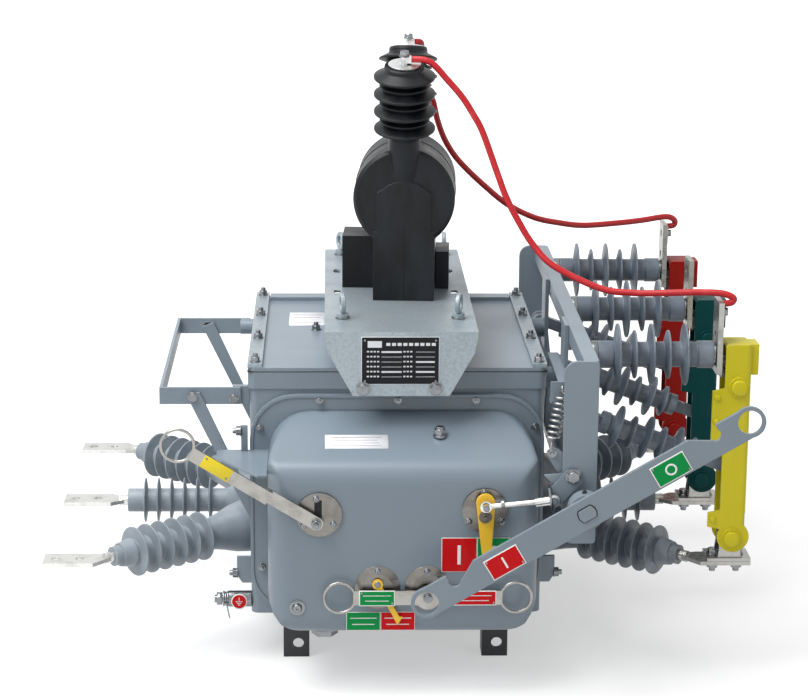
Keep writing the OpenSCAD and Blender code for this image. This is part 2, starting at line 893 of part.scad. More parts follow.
module blade_hinges() {
    base_t = 5;
    ear_t = 4;
    z0 = bushing_z + pad_t / 2 + seat;
    color("lightgray")
        for (y = phases)
            difference() {
                union() {
                    translate([terminal_reach - pad_l, y - pad_w / 2, z0])
                        cube([pad_l, pad_w, base_t]);
                    for (side = [-1, 1])
                        upright(concat(
                            [[pivot_x - 18, z0], [pivot_x + 18, z0]],
                            arc([pivot_x, pivot_z], 14, 0, 180, 8)),
                            y + side * 18 - ear_t / 2, ear_t);
                }
                for (i = [0, 1])
                    translate([terminal_reach - 18 - i * pad_pitch, y, z0 - 1])
                        cylinder(d = pad_hole, h = base_t + 2);
                pin_y(pivot_x, y - 30, pivot_z, pivot_r + bore_gap, 60);
            }
}

// The shaft with a pair of crank plates for each phase
module isolator_shaft() {
    tip = handle_y + handle_t + hub_l + seat;
    crank_t = 6;
    crank_end = [shaft_x + pin_dx, shaft_z + pin_dz];
    color("slategray") {
        pin_y(shaft_x, tip, shaft_z, shaft_d / 2, frame_y + 10 - tip);
        for (y = phases)
            difference() {
                for (side = [-1, 1])
                    upright(concat(
                        arc([shaft_x, shaft_z], 20, swing_closed + 90, swing_closed + 270, 10),
                        arc(crank_end, 12, swing_closed - 90, swing_closed + 90, 8)),
                        y + side * 13 - crank_t / 2, crank_t);
                pin_y(shaft_x + pin_dx, y - 30, shaft_z + pin_dz, rod_pin_r + bore_gap, 60);
            }
    }
}

module main_handle() {
    half = handle_span / 2;
    eye_r = 23;
    hole_r = 17.5;
    hw = handle_w / 2;
    notch_x = half - 52;
    notch_r = 9;
    boss = 3;
    color("lightslategray")
        translate([shaft_x, handle_y, shaft_z])
            rotate([0, -handle_angle, 0])
                difference() {
                    union() {
                        upright([[-half, -hw], [half, -hw], [half, hw], [half - 44, hw], [half - 46, 6],
                            [half - 62, 5], [half - 90, hw], [90 - half, hw], [62 - half, 5], [46 - half, 6],
                            [44 - half, hw], [-half, hw]], 0, handle_t);
                        for (side = [-1, 1])
                            pin_y(side * half, 0, 0, eye_r, handle_t);
                        // Hub behind the handle
                        pin_y(0, handle_t - eps, 0, hub_r, hub_l + eps);
                        // End of the shaft, flattened on two sides
                        intersection() {
                            pin_y(0, -boss, 0, 13, boss + 1);
                            translate([-13, -boss, -9])
                                cube([26, boss + 1, 18]);
                        }
                    }
                    for (side = [-1, 1]) {
                        pin_y(side * half, -1, 0, hole_r, handle_t + 2);
                        pin_y(side * notch_x, -1, notch_r, notch_r, handle_t + 2);
                    }
                }
}

// A pull rod of one phase: two forked ends and an insulator, from the crank pin to the blade pin
module pull_rod(y) {
    end_l = 42;
    end_h = 18;
    sheds = [33, 25, 33, 25, 33, 25];
    t0 = 14;
    t1 = 10;
    color("dimgray")
        translate([shaft_x + pin_dx, y, shaft_z + pin_dz])
            rotate([0, -rod_angle, 0])
                difference() {
                    union() {
                        translate([end_l, 0, 0])
                            rotate([0, 90, 0])
                                insulator(rod_len - 2 * end_l, 15, 17, 12, sheds, 26, 20, 6);
                        translate([0, -t0 / 2, -end_h / 2])
                            cube([end_l + eps, t0, end_h]);
                        translate([rod_len - end_l - eps, -t1 / 2, -end_h / 2])
                            cube([end_l, t1, end_h]);
                        pin_y(0, -t0 / 2, 0, 11, t0);
                        pin_y(rod_len, -t1 / 2, 0, 11, t1);
                        pin_y(0, -17, 0, rod_pin_r, 34);
                    }
                    pin_y(rod_len, -12, 0, rod_pin_r + bore_gap, 24);
                }
}

module front_pull_rod() {
    pull_rod(phases[0]);
}

module middle_pull_rod() {
    pull_rod(phases[1]);
}

module rear_pull_rod() {
    pull_rod(phases[2]);
}

// The two bars of a blade and the pins through them
module blade(y) {
    top = post_z + 12;
    bar_y = 10.5;
    color("silver") {
        for (side = [-1, 1])
            upright(concat(
                arc([pivot_x, pivot_z], 16, 180, 360, 8),
                [[pivot_x + 11, pivot_z + 24], [pivot_x + 11, top], [pivot_x - 12, top],
                    [pivot_x - 12, pivot_z + 24]]),
                y + side * bar_y - 2.5, 5);
        pin_y(pivot_x, y - 21.5, pivot_z, pivot_r, 43);
        pin_y(pivot_x + pin_dx, y - 14, pivot_z + pin_dz, rod_pin_r, 28);
        pin_y(pivot_x + 3, y - 21.5, boss_z, 6, 43);
    }
}

module front_blade() {
    blade(phases[0]);
}

module middle_blade() {
    blade(phases[1]);
}

module rear_blade() {
    blade(phases[2]);
}

// The coloured cover of a blade: a channel open to the left, with rounded long edges
module blade_cover(y, tint) {
    wall = 4;
    half = 26;
    edge_r = 8;
    corner = 3;
    lug_out = 18;
    x0 = pivot_x - 18;
    x1 = cover_x1;
    top = frame_top + 1;
    bulb_r = 24;
    waist = pivot_z + 32;
    bulb = [pivot_x + 3, pivot_z + 2];
    hood_z = post_z - 27;
    // Longer than the cover from its top to the foot of its bulb
    cover_l = top - bulb[1] + 2 * bulb_r + 40;
    outline = concat(
        arc(bulb, bulb_r, 180, 360, 10),
        [[x1, waist], [x1, top - corner], [x1 - corner, top], [x0 + corner, top], [x0, top - corner],
            [x0, waist - 18]]);
    color(tint)
        difference() {
            union() {
                intersection() {
                    upright(outline, y - half, 2 * half);
                    translate([x1, y, top - cover_l])
                        linear_extrude(height = cover_l + 20)
                            polygon(concat(
                                [[-90, half], [-90, -half]],
                                arc([-edge_r, edge_r - half], edge_r, 270, 360, 4),
                                arc([-edge_r, half - edge_r], edge_r, 0, 90, 4)));
                }
                pin_y(bulb[0], y - half, bulb[1], bulb_r, 2 * half);
                // Lugs on the front wall
                upright([[x0 + 1, post_z - 46], [x0 - lug_out, post_z - 50], [x0 - lug_out, post_z - 130],
                    [x0 + 1, post_z - 134]], y - half, wall);
                upright([[x0 + 1, waist + 12], [x0 - lug_out, waist + 8], [x0 - lug_out, waist - 14],
                    [x0 + 1, waist - 18]], y - half, wall);
                // Hood on the outer face
                translate([x1 - 10, y - 18, hood_z])
                    cube([terminal_reach - x1 + 10, 36, top - 1 - hood_z]);
                for (p = [[pivot_x, pivot_z], [pivot_x + 3, boss_z]])
                    pin_y(p[0], y - half - 4, p[1], 15.5, 8);
            }
            // The hollow, open to the left all the way and to the right below the waist
            upright([[x0 - 40, bulb[1] - 34], [x1 + 30, bulb[1] - 34], [x1 + 30, waist + 6],
                [x1 - wall, waist + 6], [x1 - wall, top - wall], [x0 - 40, top - wall]],
                y - half + wall, 2 * (half - wall));
        }
}

module front_blade_cover() {
    blade_cover(phases[0], "gold");
}

module middle_blade_cover() {
    blade_cover(phases[1], "darkgreen");
}

module rear_blade_cover() {
    blade_cover(phases[2], "firebrick");
}

// ---- Leads from the transformer to the outer phases ----

plate_end = [upper_x + upper_t + seat, phase_gap, post_z + 77];

front_lead_path = [[lead_x(-1), -cap_y, cap_z + 7], [50, -121, 911], [77, -127, 884], [99, -133, 859],
    [116, -139, 833], [130, -145, 807], [152, -163, 747], [165, -175, 713], [183, -186, 679],
    [205, -198, 645], [236, -218, 616], [303, -244, 588], [352, -258, 584], [398, -272, 587],
    [445, -285, 591], [478, -295, 591.5], [494, -300, 586], [492, -300, 579],
    [plate_end[0], -plate_end[1], plate_end[2]]];
rear_lead_path = [[lead_x(1), cap_y, cap_z + 7], [45, 125, 912], [47, 142, 899], [49, 160, 877],
    [51, 173, 852], [57, 180, 830], [68, 178, 810], [75, 172, 781], [86, 168, 751], [102, 167, 724],
    [122, 168, 701], [152, 174, 672], [193, 186, 637], [240, 203, 611], [284, 222, 598],
    [328, 240, 590], [386, 260, 590], [431, 275, 592], [476, 293, 595], [492, 299, 588],
    [491, 300, 579], plate_end];

// A point on the smooth curve through path, between its points i and i + 1
function curve(path, i, t) =
    let (n = len(path) - 1, a = path[max(i - 1, 0)], b = path[i], c = path[i + 1], d = path[min(i + 2, n)])
    0.5 * (2 * b + (c - a) * t + (2 * a - 5 * b + 4 * c - d) * t * t + (3 * b - a - 3 * c + d) * t * t * t);

function unit(v) = v / norm(v);

// A tube of radius r swept along the smooth curve through path
module lead(path, r) {
    steps = 2;
    sides = 10;
    last = len(path) - 1;
    spine = [for (i = [0:last - 1]) for (s = [0:steps - 1]) curve(path, i, s / steps), path[last]];
    n = len(spine);
    points = [for (i = [0:n - 1])
        let (dir = i == 0 || i == n - 1 ? [i == 0 ? 1 : -1, 0, 0] : unit(spine[i + 1] - spine[i - 1]),
            side = unit(cross(dir, [0, 1, 0.2])),
            up = cross(side, dir))
        for (k = [0:sides - 1]) spine[i] + r * (cos(360 * k / sides) * side + sin(360 * k / sides) * up)];
    walls = [for (i = [0:n - 2]) for (k = [0:sides - 1])
        let (j = (k + 1) % sides)
        [i * sides + k, i * sides + j, (i + 1) * sides + j, (i + 1) * sides + k]];
    polyhedron(points, concat(
        [[for (k = [sides - 1:-1:0]) k]],
        walls,
        [[for (k = [0:sides - 1]) (n - 1) * sides + k]]));
}

module front_lead() {
    color("red")
        lead(front_lead_path, 5);
}

module rear_lead() {
    color("firebrick")
        lead(rear_lead_path, 5);
}

// The whole unit stands with the middle of its depth over the origin
translate([0, -mid_y, 0]) {
    tank();
    top_cover();
    cover_strips();
    cover_flange();
    mechanism_cover();
    feet();
    bushings();
    line_terminals();
    load_terminals();
    side_frame();
    side_frame_braces();
    transformer_bracket();
    lifting_eyes();
    transformer_body();
    transformer_terminal_box();
    transformer_caps();
    front_lead();
    rear_lead();
    isolator_frame();
    spring_shelf();
    frame_supports();
    post_insulators();
    upper_terminals();
    blade_hinges();
    isolator_shaft();
    main_handle();
    front_pull_rod();
    middle_pull_rod();
    rear_pull_rod();
    front_blade();
    middle_blade();
    rear_blade();
    front_blade_cover();
    middle_blade_cover();
    rear_blade_cover();
    mechanism_discs();
    charging_handle();
    trip_lever();
    position_pointer();
    energy_pointer();
    tie_rod();
    interlock_lever();
    return_spring();
    earth_terminal();
    cable_connector();
}
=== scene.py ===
"""Looks of a pole-mounted vacuum circuit breaker with its isolator and voltage transformer."""

import logging
from dataclasses import dataclass
from enum import Enum
from math import cos, pi, radians, sin
from typing import Iterable, Sequence

import bpy
from mathutils import Matrix, Vector


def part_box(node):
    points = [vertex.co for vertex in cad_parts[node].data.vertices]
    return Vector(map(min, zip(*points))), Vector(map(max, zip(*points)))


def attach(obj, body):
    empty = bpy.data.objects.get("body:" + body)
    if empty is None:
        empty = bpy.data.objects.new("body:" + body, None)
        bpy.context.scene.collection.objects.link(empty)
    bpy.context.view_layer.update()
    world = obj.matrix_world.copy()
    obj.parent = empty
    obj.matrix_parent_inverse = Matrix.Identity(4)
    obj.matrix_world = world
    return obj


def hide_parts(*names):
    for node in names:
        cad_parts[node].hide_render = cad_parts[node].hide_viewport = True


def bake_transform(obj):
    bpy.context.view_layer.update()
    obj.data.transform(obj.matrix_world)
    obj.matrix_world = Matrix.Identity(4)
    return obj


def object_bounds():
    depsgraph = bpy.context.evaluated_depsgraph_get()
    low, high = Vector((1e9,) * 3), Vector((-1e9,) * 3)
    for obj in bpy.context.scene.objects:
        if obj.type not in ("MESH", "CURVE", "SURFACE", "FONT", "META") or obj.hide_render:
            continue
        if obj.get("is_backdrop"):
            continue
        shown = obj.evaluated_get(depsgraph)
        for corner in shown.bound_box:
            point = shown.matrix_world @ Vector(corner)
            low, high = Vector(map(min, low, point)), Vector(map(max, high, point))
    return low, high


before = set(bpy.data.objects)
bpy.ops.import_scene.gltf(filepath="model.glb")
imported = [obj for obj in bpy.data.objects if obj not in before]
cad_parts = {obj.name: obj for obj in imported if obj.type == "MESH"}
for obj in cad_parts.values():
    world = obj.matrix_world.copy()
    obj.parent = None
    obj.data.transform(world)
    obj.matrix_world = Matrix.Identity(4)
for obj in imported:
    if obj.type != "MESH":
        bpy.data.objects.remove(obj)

LOG = logging.getLogger("breaker")
MM = 0.001
ROOT = "switchgear"

Pair = tuple[float, float]
Triple = tuple[float, float, float]
Place = tuple[Triple, Triple]
Piece = bpy.types.Object
Tree = bpy.types.NodeTree
Node = bpy.types.Node
Socket = bpy.types.NodeSocket


def corners() -> list[list[float]]:
    """The shown object's lowest and highest corner as plain lists."""
    return [list(c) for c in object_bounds()]


CAD_BOX = corners()

TANK_LOW, TANK_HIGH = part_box("tank")
TANK_MID_Y = (TANK_LOW.y + TANK_HIGH.y) / 2


def spot(x: float, y: float, z: float) -> Vector:
    """A point in metres from millimetres measured from the ground under the tank's middle."""
    return Vector((x * MM, y * MM + TANK_MID_Y, z * MM))


def mm_box(node: str) -> tuple[Vector, Vector]:
    """Finds a CAD node's box.

    Args:
        node: The node's name.

    Returns:
        Its lowest and highest corner in the millimetres that spot() takes.
    """
    low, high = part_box(node)
    shift = Vector((0, TANK_MID_Y, 0))
    return (low - shift) / MM, (high - shift) / MM


# ---------------------------------------------------------------- finishes

SMOOTH = {"interpolation_type": "SMOOTHSTEP"}
RGBA = {"data_type": "RGBA"}
# The sockets of a Mix node that take and give colours
UNDER, OVER, MIXED = 6, 7, 2


def linear(code: str) -> tuple[float, float, float, float]:
    """Turns an sRGB hex colour into linear values.

    Args:
        code: Six hex digits after a number sign.

    Returns:
        Red, green, blue and an alpha of 1.
    """
    parts = [int(code[i : i + 2], 16) / 255 for i in (1, 3, 5)]
    return (*[p / 12.92 if p <= 0.04045 else ((p + 0.055) / 1.055) ** 2.4 for p in parts], 1.0)


def add(
    tree: Tree, kind: str, links: dict[str | int, object] | None = None, **settings: object
) -> Node:
    """Adds a shader node.

    Args:
        tree: The node tree to add to.
        kind: The node's type without its ShaderNode prefix.
        links: Input names or numbers, each with a value, or with the socket or node that feeds it.
        **settings: The node's own options.

    Returns:
        The new node.
    """
    node = tree.nodes.new("ShaderNode" + kind)
    for key, value in settings.items():
        setattr(node, key, value)
    for key, value in (links or {}).items():
        if isinstance(value, Node):
            value = value.outputs[0]
        if isinstance(value, Socket):
            tree.links.new(value, node.inputs[key])
        else:
            node.inputs[key].default_value = value
    return node


def blank(owner: bpy.types.ID) -> Tree:
    """The emptied node tree of a new material or world."""
    owner.use_nodes = True
    owner.node_tree.nodes.clear()
    return owner.node_tree


def span(source: object, low: float, high: float, first: float, last: float) -> dict[str, object]:
    """The links that turn a source from low to high into a value from first to last."""
    return {"Value": source, "From Min": low, "From Max": high, "To Min": first, "To Max": last}


@dataclass(frozen=True)
class Noise:
    """A noise: how wide its blotches are in millimetres, how many finer layers it has and its stretch."""

    size: float
    detail: float
    stretch: Triple = (1.0, 1.0, 1.0)

    def into(self, tree: Tree) -> Socket:
        """Adds the noise to a material and returns its factor."""
        where = add(tree, "TexCoord").outputs["Object"]
        turned = add(tree, "Mapping", {"Vector": where, "Scale": tuple(1 / s for s in self.stretch)})
        links = {"Vector": turned, "Scale": 1 / (self.size * MM), "Detail": self.detail}
        return add(tree, "TexNoise", links).outputs["Fac"]


@dataclass(frozen=True)
class Finish:
    """A surface finish: its slot in the record, its colour and how it takes light.

    A film of another colour lies over the colour where the patches go through patch_span, and along the
    rims; thick is how much of it shows in both. The roughness drifts while the sheen goes through swing.
    The grain is that of peel, or of the sheen, with relief as its strength and its height in millimetres.
    """

    name: str
    slot: str
    colour: str
    film: str
    roughness: float = 0.5
    shine: float = 0.5
    metallic: float = 0.0
    thick: Pair = (0.18, 0.18)
    patches: Noise = Noise(14, 6, (1.0, 1.0, 3.0))
    patch_span: Pair = (0.52, 0.8)
    rim_mm: float = 1.5
    rim_span: Pair = (0.06, 0.4)
    sheen: Noise = Noise(40, 4)
    swing: Pair = (0.3, 0.7)
    drift: Pair = (-0.05, 0.07)
    peel: Noise | None = None
    relief: Pair = (0.06, 0.2)

    def material(self) -> bpy.types.Material:
        """The finish's material, made on first use."""
        found = bpy.data.materials.get(self.name)
        if found is not None:
            return found
        made = bpy.data.materials.new(self.name)
        made.diffuse_color = linear(self.colour)
        tree = blank(made)
        plain = {
            "Base Color": linear(self.colour),
            "Metallic": self.metallic,
            "Roughness": self.roughness,
            "Specular IOR Level": self.shine,
        }
        shader = add(tree, "BsdfPrincipled", plain)
        add(tree, "OutputMaterial", {"Surface": shader})
        self.dress(tree, shader.inputs)
        return made

    def dress(self, tree: Tree, inputs: bpy.types.NodeInputs) -> None:
        """Feeds the shader with the colours, the drifting roughness and the grain.

        Args:
            tree: The material's node tree.
            inputs: The shader's inputs.
        """
        # A rounded normal, and a mask that is 0 on a flat and rises towards an edge
        soft = add(tree, "Bevel", {"Radius": self.rim_mm * MM}, samples=6).outputs[0]
        face = add(tree, "NewGeometry").outputs["Normal"]
        same = add(tree, "VectorMath", {0: soft, 1: face}, operation="DOT_PRODUCT").outputs["Value"]
        edge = add(tree, "Math", {0: 1.0, 1: same}, operation="SUBTRACT", use_clamp=True)
        tree.links.new(self.paint(tree, edge), inputs["Base Color"])
        ends = [self.roughness + d for d in self.drift]
        rough = add(tree, "MapRange", span(self.gloss(tree), *self.swing, *ends), **SMOOTH)
        tree.links.new(rough.outputs[0], inputs["Roughness"])
        strength, height = self.relief
        bumps = (self.peel or self.sheen).into(tree)
        links = {"Height": bumps, "Normal": soft, "Strength": strength, "Distance": height * MM}
        tree.links.new(add(tree, "Bump", links).outputs[0], inputs["Normal"])

    def gloss(self, tree: Tree) -> Socket | Node:
        """The pattern that the roughness drifts with."""
        return self.sheen.into(tree)

    def under(self, tree: Tree) -> Socket | tuple:
        """The colour under the film."""
        return linear(self.colour)

    def paint(self, tree: Tree, edge: Node) -> Socket:
        """Lays the film over the colour, in its patches and along the rims.

        Args:
            tree: The material's node tree.
            edge: A mask that is 0 on a flat and rises towards an edge.

        Returns:
            The colour of both.
        """
        patch, rim = (
            add(tree, "MapRange", span(source, *ends, 0.0, most), **SMOOTH)
            for source, ends, most in (
                (self.patches.into(tree), self.patch_span, self.thick[0]),
                (edge, self.rim_span, self.thick[1]),
            )
        )
        film = add(tree, "Math", {0: patch, 1: rim}, operation="MAXIMUM")
        links = {0: film, UNDER: self.under(tree), OVER: linear(self.film)}
        return add(tree, "Mix", links, **RGBA).outputs[MIXED]


@dataclass(frozen=True)
class PowderCoat(Finish):
    """Powder coat on sheet steel: an even satin film, faint orange peel, dust, pale edges of wear and painted
    highlight.
    """

    thick: Pair = (0.22, 0.75)
    patches: Noise = Noise(140, 2)
    patch_span: Pair = (0.1, 0.9)
    rim_mm: float = 1.6
    rim_span: Pair = (0.05, 0.4)
    sheen: Noise = Noise(90, 1)
    swing: Pair = (0.1, 0.9)
    drift: Pair = (-0.03, 0.05)
    # Orange peel of about 1.5 mm, drawn at 3 mm so that it shows
    peel: Noise = Noise(3, 1)
    relief: Pair = (0.12, 0.4)
    # The pale edge colour: wear, and a painted highlight along the edges
    wear_and_highlight: str = "#c3cbcf"
    chips: Noise = Noise(18, 5)

    def paint(self, tree: Tree, edge: Node) -> Socket:
        """The paint, dusty in wide drifts and pale along its edges in patches, as wear and painted highlight.
        """
        dust, rub_and_light = self.thick
        dusty = add(tree, "MapRange", span(self.patches.into(tree), *self.patch_span, 0.0, dust), **SMOOTH)
        links = {0: dusty, UNDER: linear(self.colour), OVER: linear(self.film)}
        base = add(tree, "Mix", links, **RGBA).outputs[MIXED]
        # Pale edges in patches: wear, and a painted highlight
        rubbed_and_lit = add(tree, "MapRange", span(edge, *self.rim_span, 0.0, rub_and_light), **SMOOTH)
        patchy = add(tree, "MapRange", span(self.chips.into(tree), 0.35, 0.65, 0.25, 1.0), **SMOOTH)
        wear_and_highlight_mask = add(tree, "Math", {0: rubbed_and_lit, 1: patchy}, operation="MULTIPLY")
        return add(tree, "Mix", {0: wear_and_highlight_mask, UNDER: base, OVER: linear(self.wear_and_highlight)}, **RGBA).outputs[MIXED]


@dataclass(frozen=True)
class HotDipZinc(Finish):
    """Hot-dip galvanised steel: a pale, even coat with a faint fine spangle and dull clouds."""

    metallic: float = 0.45
    patches: Noise = Noise(70, 5, (1.0, 1.0, 2.0))
    patch_span: Pair = (0.12, 0.4)
    rim_mm: float = 1.0
    sheen: Noise = Noise(5, 3)
    swing: Pair = (0.1, 0.4)
    drift: Pair = (-0.04, -0.16)
    peel: Noise = Noise(70, 5, (1.0, 1.0, 2.0))
    relief: Pair = (0.12, 0.5)
    dark: str = "#88949b"

    def gloss(self, tree: Tree) -> Socket | Node:
        """A spangle in clouds."""
        return add(tree, "Math", {0: self.sheen.into(tree), 1: self.patches.into(tree)}, operation="MULTIPLY")

    def paint(self, tree: Tree, edge: Node) -> Socket:
        """The zinc's own colour, half mottled from dark to light."""
        mottle = add(tree, "MapRange", span(self.gloss(tree), *self.patch_span, 0.0, 1.0), **SMOOTH)
        links = {0: mottle, UNDER: linear(self.dark), OVER: linear(self.film)}
        base = add(tree, "Mix", links, **RGBA).outputs[MIXED]
        return add(tree, "Mix", {0: 0.5, UNDER: base, OVER: linear(self.colour)}, **RGBA).outputs[MIXED]


@dataclass(frozen=True)
class BrushedMetal(Finish):
    """Sheet metal brushed along its length: fine long scratches over a soft, slightly warm shine."""

    metallic: float = 1.0
    thick: Pair = (0.5, 0.0)
    patches: Noise = Noise(26, 5)
    patch_span: Pair = (0.45, 0.72)
    rim_mm: float = 0.4
    # Scratches a tenth of a millimetre wide, drawn at 0.9 mm so that they show
    sheen: Noise = Noise(0.9, 2, (14.0, 14.0, 1.0))
    drift: Pair = (-0.06, 0.12)
    relief: Pair = (0.15, 0.2)


@dataclass(frozen=True)
class Silicone(Finish):
    """Moulded silicone rubber: a matte skin with a chalky bloom that gathers on the shed rims."""

    thick: Pair = (0.35, 0.9)
    patches: Noise = Noise(35, 5)
    patch_span: Pair = (0.4, 0.75)
    rim_mm: float = 2.2
    rim_span: Pair = (0.04, 0.35)
    sheen: Noise = Noise(12, 4)
    drift: Pair = (-0.06, 0.1)
    peel: Noise = Noise(1.4, 2)
    relief: Pair = (0.1, 0.3)
    # A darker colour laid over the isolator's side (+X) as painted shade
    shaded_side: str = ""

    def under(self, tree: Tree) -> Socket | tuple:
        """The rubber's own colour, darkened on the isolator's side (+X) by painted shade where a shaded
        colour is given.
        """
        if not self.shaded_side:
            return linear(self.colour)
        across = add(tree, "SeparateXYZ", {0: add(tree, "TexCoord").outputs["Object"]})
        side = add(tree, "MapRange", span(across, -0.02, 0.02, 0.0, 1.0), **SMOOTH)
        links = {0: side, UNDER: linear(self.colour), OVER: linear(self.shaded_side)}
        return add(tree, "Mix", links, **RGBA).outputs[MIXED]


@dataclass(frozen=True)
class CastEpoxy(Finish):
    """Cast epoxy resin: near-black and satin, with faint flow marks and grey dust."""

    thick: Pair = (0.35, 0.6)
    patches: Noise = Noise(45, 5, (1.0, 1.0, 2.5))
    patch_span: Pair = (0.4, 0.7)
    rim_mm: float = 2.5
    rim_span: Pair = (0.05, 0.4)
    sheen: Noise = Noise(45, 5, (1.0, 1.0, 2.5))
    drift: Pair = (0.01, 0.19)
    peel: Noise = Noise(2, 3)
    relief: Pair = (0.12, 0.4)


@dataclass(frozen=True)
class MouldedPlastic(Finish):
    """Moulded plastic or cable sheath: satin, even in colour, with scuffs a shade lighter."""

    peel: Noise = Noise(1.2, 2)


GREY_COAT = PowderCoat("powder_coated_steel", "grey_paint", "#76838e", "#949ea5", 0.36, wear_and_highlight="#b4bfc7")
# On the mechanism cover the wide 14 mm rim spreads the pale edge colour over the rounded shoulder as a
# painted highlight
PRESSED_COAT = PowderCoat(
    "powder_coated_pressing", "grey_paint", "#76838e", "#7c8994", 0.31, rim_mm=14.0, wear_and_highlight="#9caab6"
)
BLACK_COAT = PowderCoat("black_enamelled_steel", "black_paint", "#202326", "#34373a", 0.4, wear_and_highlight="#6a6d6e")
POINTER_COAT = PowderCoat(
    "yellow_enamelled_steel", "yellow_paint", "#f0c230", "#e2b636", 0.38, wear_and_highlight="#f5dc8a"
)
ZINC = HotDipZinc("galvanised_steel", "galvanised", "#95a1a8", "#abb5ba")
# Scratches in no one direction, along X, and along X and Z
FINE = Noise(0.9, 2)
ALONG_X = Noise(0.9, 2, (6.0, 1.0, 1.0))
ALONG_XZ = Noise(0.9, 2, (9.0, 1.0, 9.0))
STAINLESS = BrushedMetal("brushed_stainless_steel", "stainless", "#827f7b", "#5a5753", 0.32)
RING_STEEL = BrushedMetal("drawn_stainless_steel", "stainless", "#a3a19d", "#7a756e", 0.26)
POLISHED = BrushedMetal("polished_stainless_steel", "stainless", "#dcdcda", "#b0aeaa", 0.24, sheen=FINE)
DARK_STEEL = BrushedMetal("blackened_steel", "stainless", "#6d6962", "#4a463f", 0.36, sheen=FINE)
BRIGHT = BrushedMetal("zinc_plated_steel", "galvanised", "#85888b", "#5b5d60", 0.2, sheen=FINE)
CAP_METAL = BrushedMetal("nickel_plated_brass", "galvanised", "#e2e3e2", "#8f908e", 0.26, sheen=FINE)
SPRING_WIRE = BrushedMetal("spring_steel_wire", "spring_steel", "#a9a9a8", "#6f6d69", 0.26)
# Two copies of one tin-plated copper: the darker one on the right-hand terminals and blades is painted shade,
# the paler one on the line pads painted light
TINNED = BrushedMetal("tin_plated_copper", "tinned_copper", "#a6a5a1", "#7d7b76", 0.28, sheen=ALONG_XZ)
LIT_TINNED = BrushedMetal(
    "lit_tin_plated_copper", "tinned_copper", "#dcdcd9", "#b1b0ab", 0.3, sheen=ALONG_XZ
)
TIN_PLATE = BrushedMetal(
    "tin_plated_sheet", "tinned_copper", "#d2d5d8", "#bcc0c4", 0.4, metallic=0.4, sheen=ALONG_X
)
# The bushings on the isolator's side (+X) are darkened by painted shade
RUBBER = Silicone("silicone_rubber", "grey_silicone", "#828c95", "#adb5bb", 0.42, shaded_side="#575f68")
# A darker copy of the same rubber for the posts and pull rods: painted shade
SHADED_RUBBER = Silicone("shaded_silicone_rubber", "grey_silicone", "#5a6470", "#a2aab2", 0.4)
EPOXY = CastEpoxy("cast_epoxy", "black_epoxy", "#0b0d11", "#33383d", 0.33, 0.26)
FRONT_SHEATH = MouldedPlastic("bright_red_cable_sheath", "red_cable", "#b3151e", "#f06a6a", 0.36, 0.4)
REAR_SHEATH = MouldedPlastic("dark_red_cable_sheath", "red_cable", "#a01017", "#d9504c", 0.38, 0.4)
# How faint the scuffs of signs and blade covers are
LIGHT, LIGHTEST = {"thick": (0.1, 0.1)}, {"thick": (0.08, 0.08)}
YELLOW_SHELL = MouldedPlastic(
    "yellow_moulded_plastic", "yellow_plastic", "#c9bd1a", "#e0d66a", 0.42, 0.3, **LIGHT
)
GREEN_SHELL = MouldedPlastic(
    "green_moulded_plastic", "green_plastic", "#003a3b", "#2a6a68", 0.4, 0.1, **LIGHTEST
)
RED_SHELL = MouldedPlastic("red_moulded_plastic", "red_plastic", "#8c140b", "#a8443c", 0.4, 0.12, **LIGHTEST)
GREEN_ENAMEL = MouldedPlastic("green_sign_enamel", "green_plastic", "#008a42", "#4fae7c", 0.36, 0.14, **LIGHT)
RED_ENAMEL = MouldedPlastic("red_sign_enamel", "red_plastic", "#c40d12", "#d85a5e", 0.36, 0.14, **LIGHT)
WHITE_ENAMEL = MouldedPlastic("white_sign_enamel", "yellow_paint", "#eceeec", "#cfd2d2", 0.4)
BLACK_INK = MouldedPlastic("black_plate_enamel", "black_paint", "#0d0f14", "#2a2d33", 0.4, 0.2)
LABEL_YELLOW = MouldedPlastic("yellow_label_film", "yellow_paint", "#e6cf24", "#f7e88a", 0.42)
LABEL_WHITE = MouldedPlastic("white_label_film", "yellow_paint", "#e9ecf1", "#d8dee8", 0.4)
LABEL_PRINT = MouldedPlastic("grey_label_print", "grey_paint", "#b9a5a8", "#d8dee8", 0.45)
GASKET = MouldedPlastic("black_gasket_rubber", "black_paint", "#15171a", "#3a3d40", 0.6, 0.3)

NODE_FINISHES: dict[Finish, tuple[str, ...]] = {
    GREY_COAT: (
        "tank", "top_cover", "cover_flange", "side_frame", "side_frame_braces", "isolator_frame",
        "spring_shelf", "frame_supports", "isolator_shaft", "main_handle", "interlock_lever",
    ),
    PRESSED_COAT: ("mechanism_cover",),
    BLACK_COAT: ("feet",),
    ZINC: ("cover_strips", "transformer_bracket", "lifting_eyes"),
    BRIGHT: ("earth_terminal", "cable_connector"),
    CAP_METAL: ("transformer_caps",),
    STAINLESS: ("mechanism_discs",),
    RING_STEEL: ("charging_handle", "trip_lever"),
    POLISHED: ("tie_rod",),
    POINTER_COAT: ("position_pointer", "energy_pointer"),
    RUBBER: ("bushings",),
    SHADED_RUBBER: ("post_insulators", "front_pull_rod", "middle_pull_rod", "rear_pull_rod"),
    EPOXY: ("transformer_body", "transformer_terminal_box"),
    LIT_TINNED: ("line_terminals",),
    TINNED: (
        "load_terminals", "upper_terminals", "blade_hinges", "front_blade", "middle_blade", "rear_blade",
    ),
    YELLOW_SHELL: ("front_blade_cover",),
    GREEN_SHELL: ("middle_blade_cover",),
    RED_SHELL: ("rear_blade_cover",),
}


